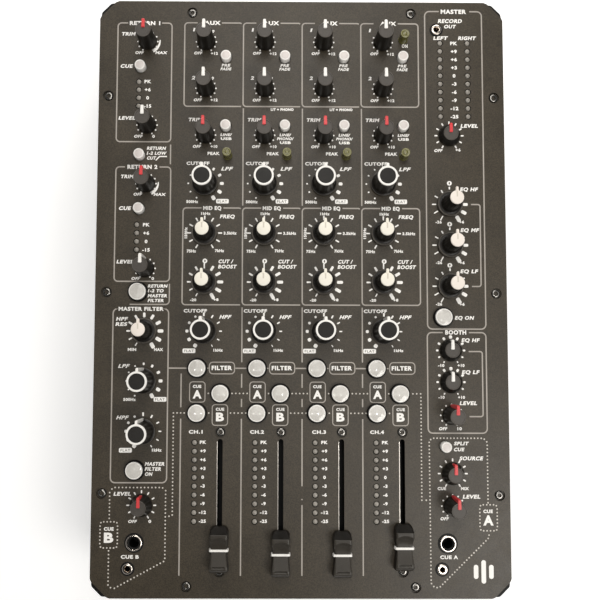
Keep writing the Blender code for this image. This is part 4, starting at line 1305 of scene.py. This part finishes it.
JACKS = [(x, z) for x in (-114.0, -98.0, -82.0) for z in (48.0, 32.0, 16.0)]
PHONO_ROWS = [[(x * side, z) for x in (11.0, 25.0, 45.0, 59.0) for side in (-1, 1)] for z in (46.0, 24.0)]
PHONOS = PHONO_ROWS[0] + PHONO_ROWS[1]
XLRS = [(84.0, 43.0), (111.0, 43.0)]
INLET_X, INLET_Z, ROCKER_X = 106.0, 20.0, 78.0


def rear_set(name, profile, places, material, slot, sides=40, close=False):
    """Equal turned bodies whose axes run out of the rear panel; heights are measured from its face."""
    bm = bmesh.new()
    for x, z in places:
        lathe(bm, profile, x, PANEL_FACE, sides, close=close, z=z, turn=REARWARD)
    piece(name, bm, material, slot)


def rear_block(bm, x, z, half_x, half_z, low, high):
    """A box on the rear panel, centred on x and z; low and high are measured from the panel's face."""
    box(bm, (x - half_x, PANEL_FACE + low, z - half_z), (x + half_x, PANEL_FACE + high, z + half_z))


def collar(name, x, half_x, half_z, wall_x, wall_z, low, high):
    """Four walls round an opening in the rear panel at the inlet's height."""
    bm = bmesh.new()
    for side in (-1, 1):
        rear_block(bm, x, INLET_Z + side * (half_z - wall_z / 2), half_x, wall_z / 2, low, high)
        rear_block(bm, x + side * (half_x - wall_x / 2), INLET_Z, wall_x / 2, half_z - wall_z, low, high)
    piece(name, bm, INSULATOR, "insulator", smooth=False)


def make_rear():
    bm = bmesh.new()
    box(bm, (-134.8, PANEL_FACE - 2, 8.5), (134.8, PANEL_FACE, 76.8))
    panel = piece("rear_panel_skin", bm, PANEL_PAINT, "panel_paint", smooth=False)
    tools = bmesh.new()
    for places, radius in ((JACKS, 4.6), (PHONOS, 3.6), (XLRS, 9.6)):
        for x, z in places:
            lathe(tools, rod(radius, -6, 4), x, PANEL_FACE, 32, z=z, turn=REARWARD)
    for x, half in ((INLET_X, 13.5), (ROCKER_X, 6)):
        rear_block(tools, x, INLET_Z, half, 9, -6, 4)
    cut(panel, tools)
    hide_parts("rear_panel")

    nut = [(3.3, 0.02), (4.85, 0.02), (4.85, 1.4), (4.5, 1.7), (4.2, 1.98), (3.3, 1.98)]
    rear_set("rear_jack_nuts", nut, JACKS, NICKEL, "nickel", 40, close=True)
    barrel = [(0.0, -18), (4.4, -18), (4.4, 0.0), (3.25, 0.0), (3.25, -16), (0.0, -16)]
    rear_set("rear_jack_barrels", barrel, JACKS, INSULATOR, "insulator", 32)

    insert = [(1.4, -5), (1.4, 7.6), (3.1, 7.6), (3.1, -5)]
    for places, colour, slot in zip(PHONO_ROWS, (PHONO_WHITE, PHONO_RED), ("phono_white", "phono_red")):
        rear_set(f"{slot}_inserts", insert, places, colour, slot, 28, close=True)
    shell = [(3.15, -6), (3.15, 7.7), (3.3, 7.95), (4.0, 7.95), (4.15, 7.7), (4.15, 1.0), (5.2, 0.7),
             (5.2, 0.02), (3.5, 0.02), (3.5, -6)]
    rear_set("phono_shells", shell, PHONOS, NICKEL, "nickel", 36, close=True)
    contact = [(0.0, -5.5), (1.3, -5.5), (1.3, 4.0), (1.0, 4.4), (0.6, 4.4), (0.6, 0.0), (0.0, 0.0)]
    rear_set("phono_contacts", contact, PHONOS, INSULATOR, "insulator", 20)

    shell = [(9.3, -16), (9.3, 1.6), (9.6, 1.95), (11.2, 1.95), (11.5, 1.6), (11.5, 0.02), (9.6, 0.02),
             (9.6, -16)]
    rear_set("xlr_shells", shell, XLRS, NICKEL, "nickel", 56, close=True)
    floor = [(0.0, -16.5), (9.4, -16.5), (9.4, -14.5), (0.0, -14.5)]
    rear_set("xlr_floors", floor, XLRS, INSULATOR, "insulator")
    pin = [(0.0, -14.6), (1.2, -14.6), (1.2, -4.0), (0.8, -3.2), (0.0, -3.0)]
    pins = [(x + dx, z + dz) for x, z in XLRS for dx, dz in ((-3.6, 0.0), (0.0, -3.6), (3.6, 0.0))]
    rear_set("xlr_pins", pin, pins, NICKEL, "nickel", 16)

    collar("inlet_walls", INLET_X, 13.2, 9.2, 1.4, 1.7, -18, 1.3)
    bm = bmesh.new()
    rear_block(bm, INLET_X, INLET_Z, 13.2, 9.0, -19, -17.5)
    bmesh.ops.bevel(bm, geom=list(bm.edges), offset=0.5, segments=2, affect="EDGES")
    piece("inlet_floor", bm, INSULATOR, "insulator")
    bm = bmesh.new()
    for px, pz in ((-7, 2.0), (0, -2.0), (7, 2.0)):
        rear_block(bm, INLET_X + px, INLET_Z + pz, 1.0, 2.0, -17.6, -4.0)
    piece("inlet_blades", bm, NICKEL, "nickel", smooth=False)

    collar("rocker_bezel", ROCKER_X, 6.5, 9.5, 1.3, 1.3, -8, 1.2)
    bm = bmesh.new()
    rocker = [(-8.0, -6.0), (8.0, -6.0), (8.0, 2.9), (0.0, 0.9), (-8.0, 0.2)]
    loft(bm, *([(ROCKER_X + side, PANEL_FACE + d, INLET_Z + z) for z, d in rocker] for side in (-5.0, 5.0)))
    piece("rocker", bm, INSULATOR, "insulator", smooth=False)


def make_board():
    for obj in bpy.context.scene.objects:
        if obj.get("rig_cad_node") == "control_board":
            for index in range(len(obj.material_slots)):
                obj.material_slots[index].material = BOARD


# ---------------------------------------------------------------- studio


# Studio lights: name, place, the point each faces, its size and its power
WORLD_STRENGTH = 0.03
FLOOR_HALF = 3000
SWEEP_RADIUS, SWEEP_BEND = 2900, 700
CAMERA_LENS = 41.535
CAMERA_SHIFT = (0.0262, 0.0404)
CAMERA_PLACE = (-13.69, -48.76, 540)
CAMERA_TURN = (3.432, -0.306, 0.149)
LIGHTS = (
    ("overhead_panel", (0, 0, 800), (0, 0, 80), (400, 400), 0.6),
    ("rear_high_panel", (0, 420, 800), (0, 126, 80), (400, 400), 1.85),
    ("front_right_panel", (420, -420, 800), (126, -126, 80), (400, 400), 3.3),
    ("right_panel", (420, 0, 800), (126, 0, 80), (400, 400), 0.55),
    ("rear_panel_light", (0, 900, 500), (0, 0, 60), (900, 300), 4.7),
    ("left_lamp", (-340, -195, 1380), (0, 0, 80), (45, 45), 0.7),
    ("right_lamp", (170, -195, 1400), (0, 0, 80), (45, 45), 0.7),
)


def soft_light(name, place, target, size, power):
    data = bpy.data.lights.new(name, "AREA")
    data.shape = "RECTANGLE"
    data.size, data.size_y = size[0] * MM, size[1] * MM
    data.energy = power
    data.color = (1.0, 0.975, 0.935)
    lamp = put(name, data)
    lamp.location = Vector(place) * MM
    lamp.rotation_euler = (Vector(target) - Vector(place)).to_track_quat("-Z", "Y").to_euler()
    lamp.visible_camera = False


def staging(name, bm, colour, roughness, glow, **look):
    """A large pale surface that belongs to the studio, with a little light of its own."""
    mesh = to_mesh(bm, name)
    mesh.materials.append(surface(f"{name}_paint", colour, roughness, variation=0.01, blotch=400,
                                  Emission_Color=(1.0, 1.0, 1.0, 1.0), Emission_Strength=glow, **look))
    mesh.shade_smooth()
    put(name, mesh)


def make_studio():
    bm = bmesh.new()
    bmesh.ops.create_grid(bm, x_segments=8, y_segments=8, size=FLOOR_HALF)
    staging("floor", bm, (0.9, 0.9, 0.9), 0.7, 0.35, grain=4, rough_swing=0.03)
    bm = bmesh.new()
    sweep = [(SWEEP_RADIUS - SWEEP_BEND * (1 - math.sin(a)), SWEEP_BEND * (1 - math.cos(a)) - 1)
             for a in (math.radians(10 * step) for step in range(10))]
    outside = SWEEP_RADIUS + 60
    lathe(bm, sweep + [(SWEEP_RADIUS, 3000), (outside, 3000), (outside, -20)], sides=96, close=True)
    staging("backdrop", bm, (0.62, 0.62, 0.62), 0.8, 0.18)

    world = bpy.data.worlds.new("studio")
    bpy.context.scene.world = world
    world.use_nodes = True
    back = world.node_tree.nodes["Background"]
    back.inputs["Color"].default_value = (1.0, 0.98, 0.95, 1)
    back.inputs["Strength"].default_value = WORLD_STRENGTH
    for name, place, target, size, power in LIGHTS:
        soft_light(name, place, target, size, power)

    camera_data = bpy.data.cameras.new("camera")
    camera_data.sensor_width = 36
    camera_data.lens = CAMERA_LENS
    camera_data.shift_x, camera_data.shift_y = CAMERA_SHIFT
    camera_data.clip_start = 0.01
    camera = put("camera", camera_data)
    camera.location = Vector(CAMERA_PLACE) * MM
    camera.rotation_euler = [math.radians(angle) for angle in CAMERA_TURN]
    bpy.context.scene.camera = camera
    bpy.context.scene.view_settings.view_transform = "Standard"


make_faceplate()
make_case()
make_screws()
for number in range(CHANNELS):
    channel_legends(number)
left_legends()
right_legends()
make_knobs()
make_faders()
make_buttons()
make_lamps()
make_sockets()
make_rear()
make_board()
make_studio()
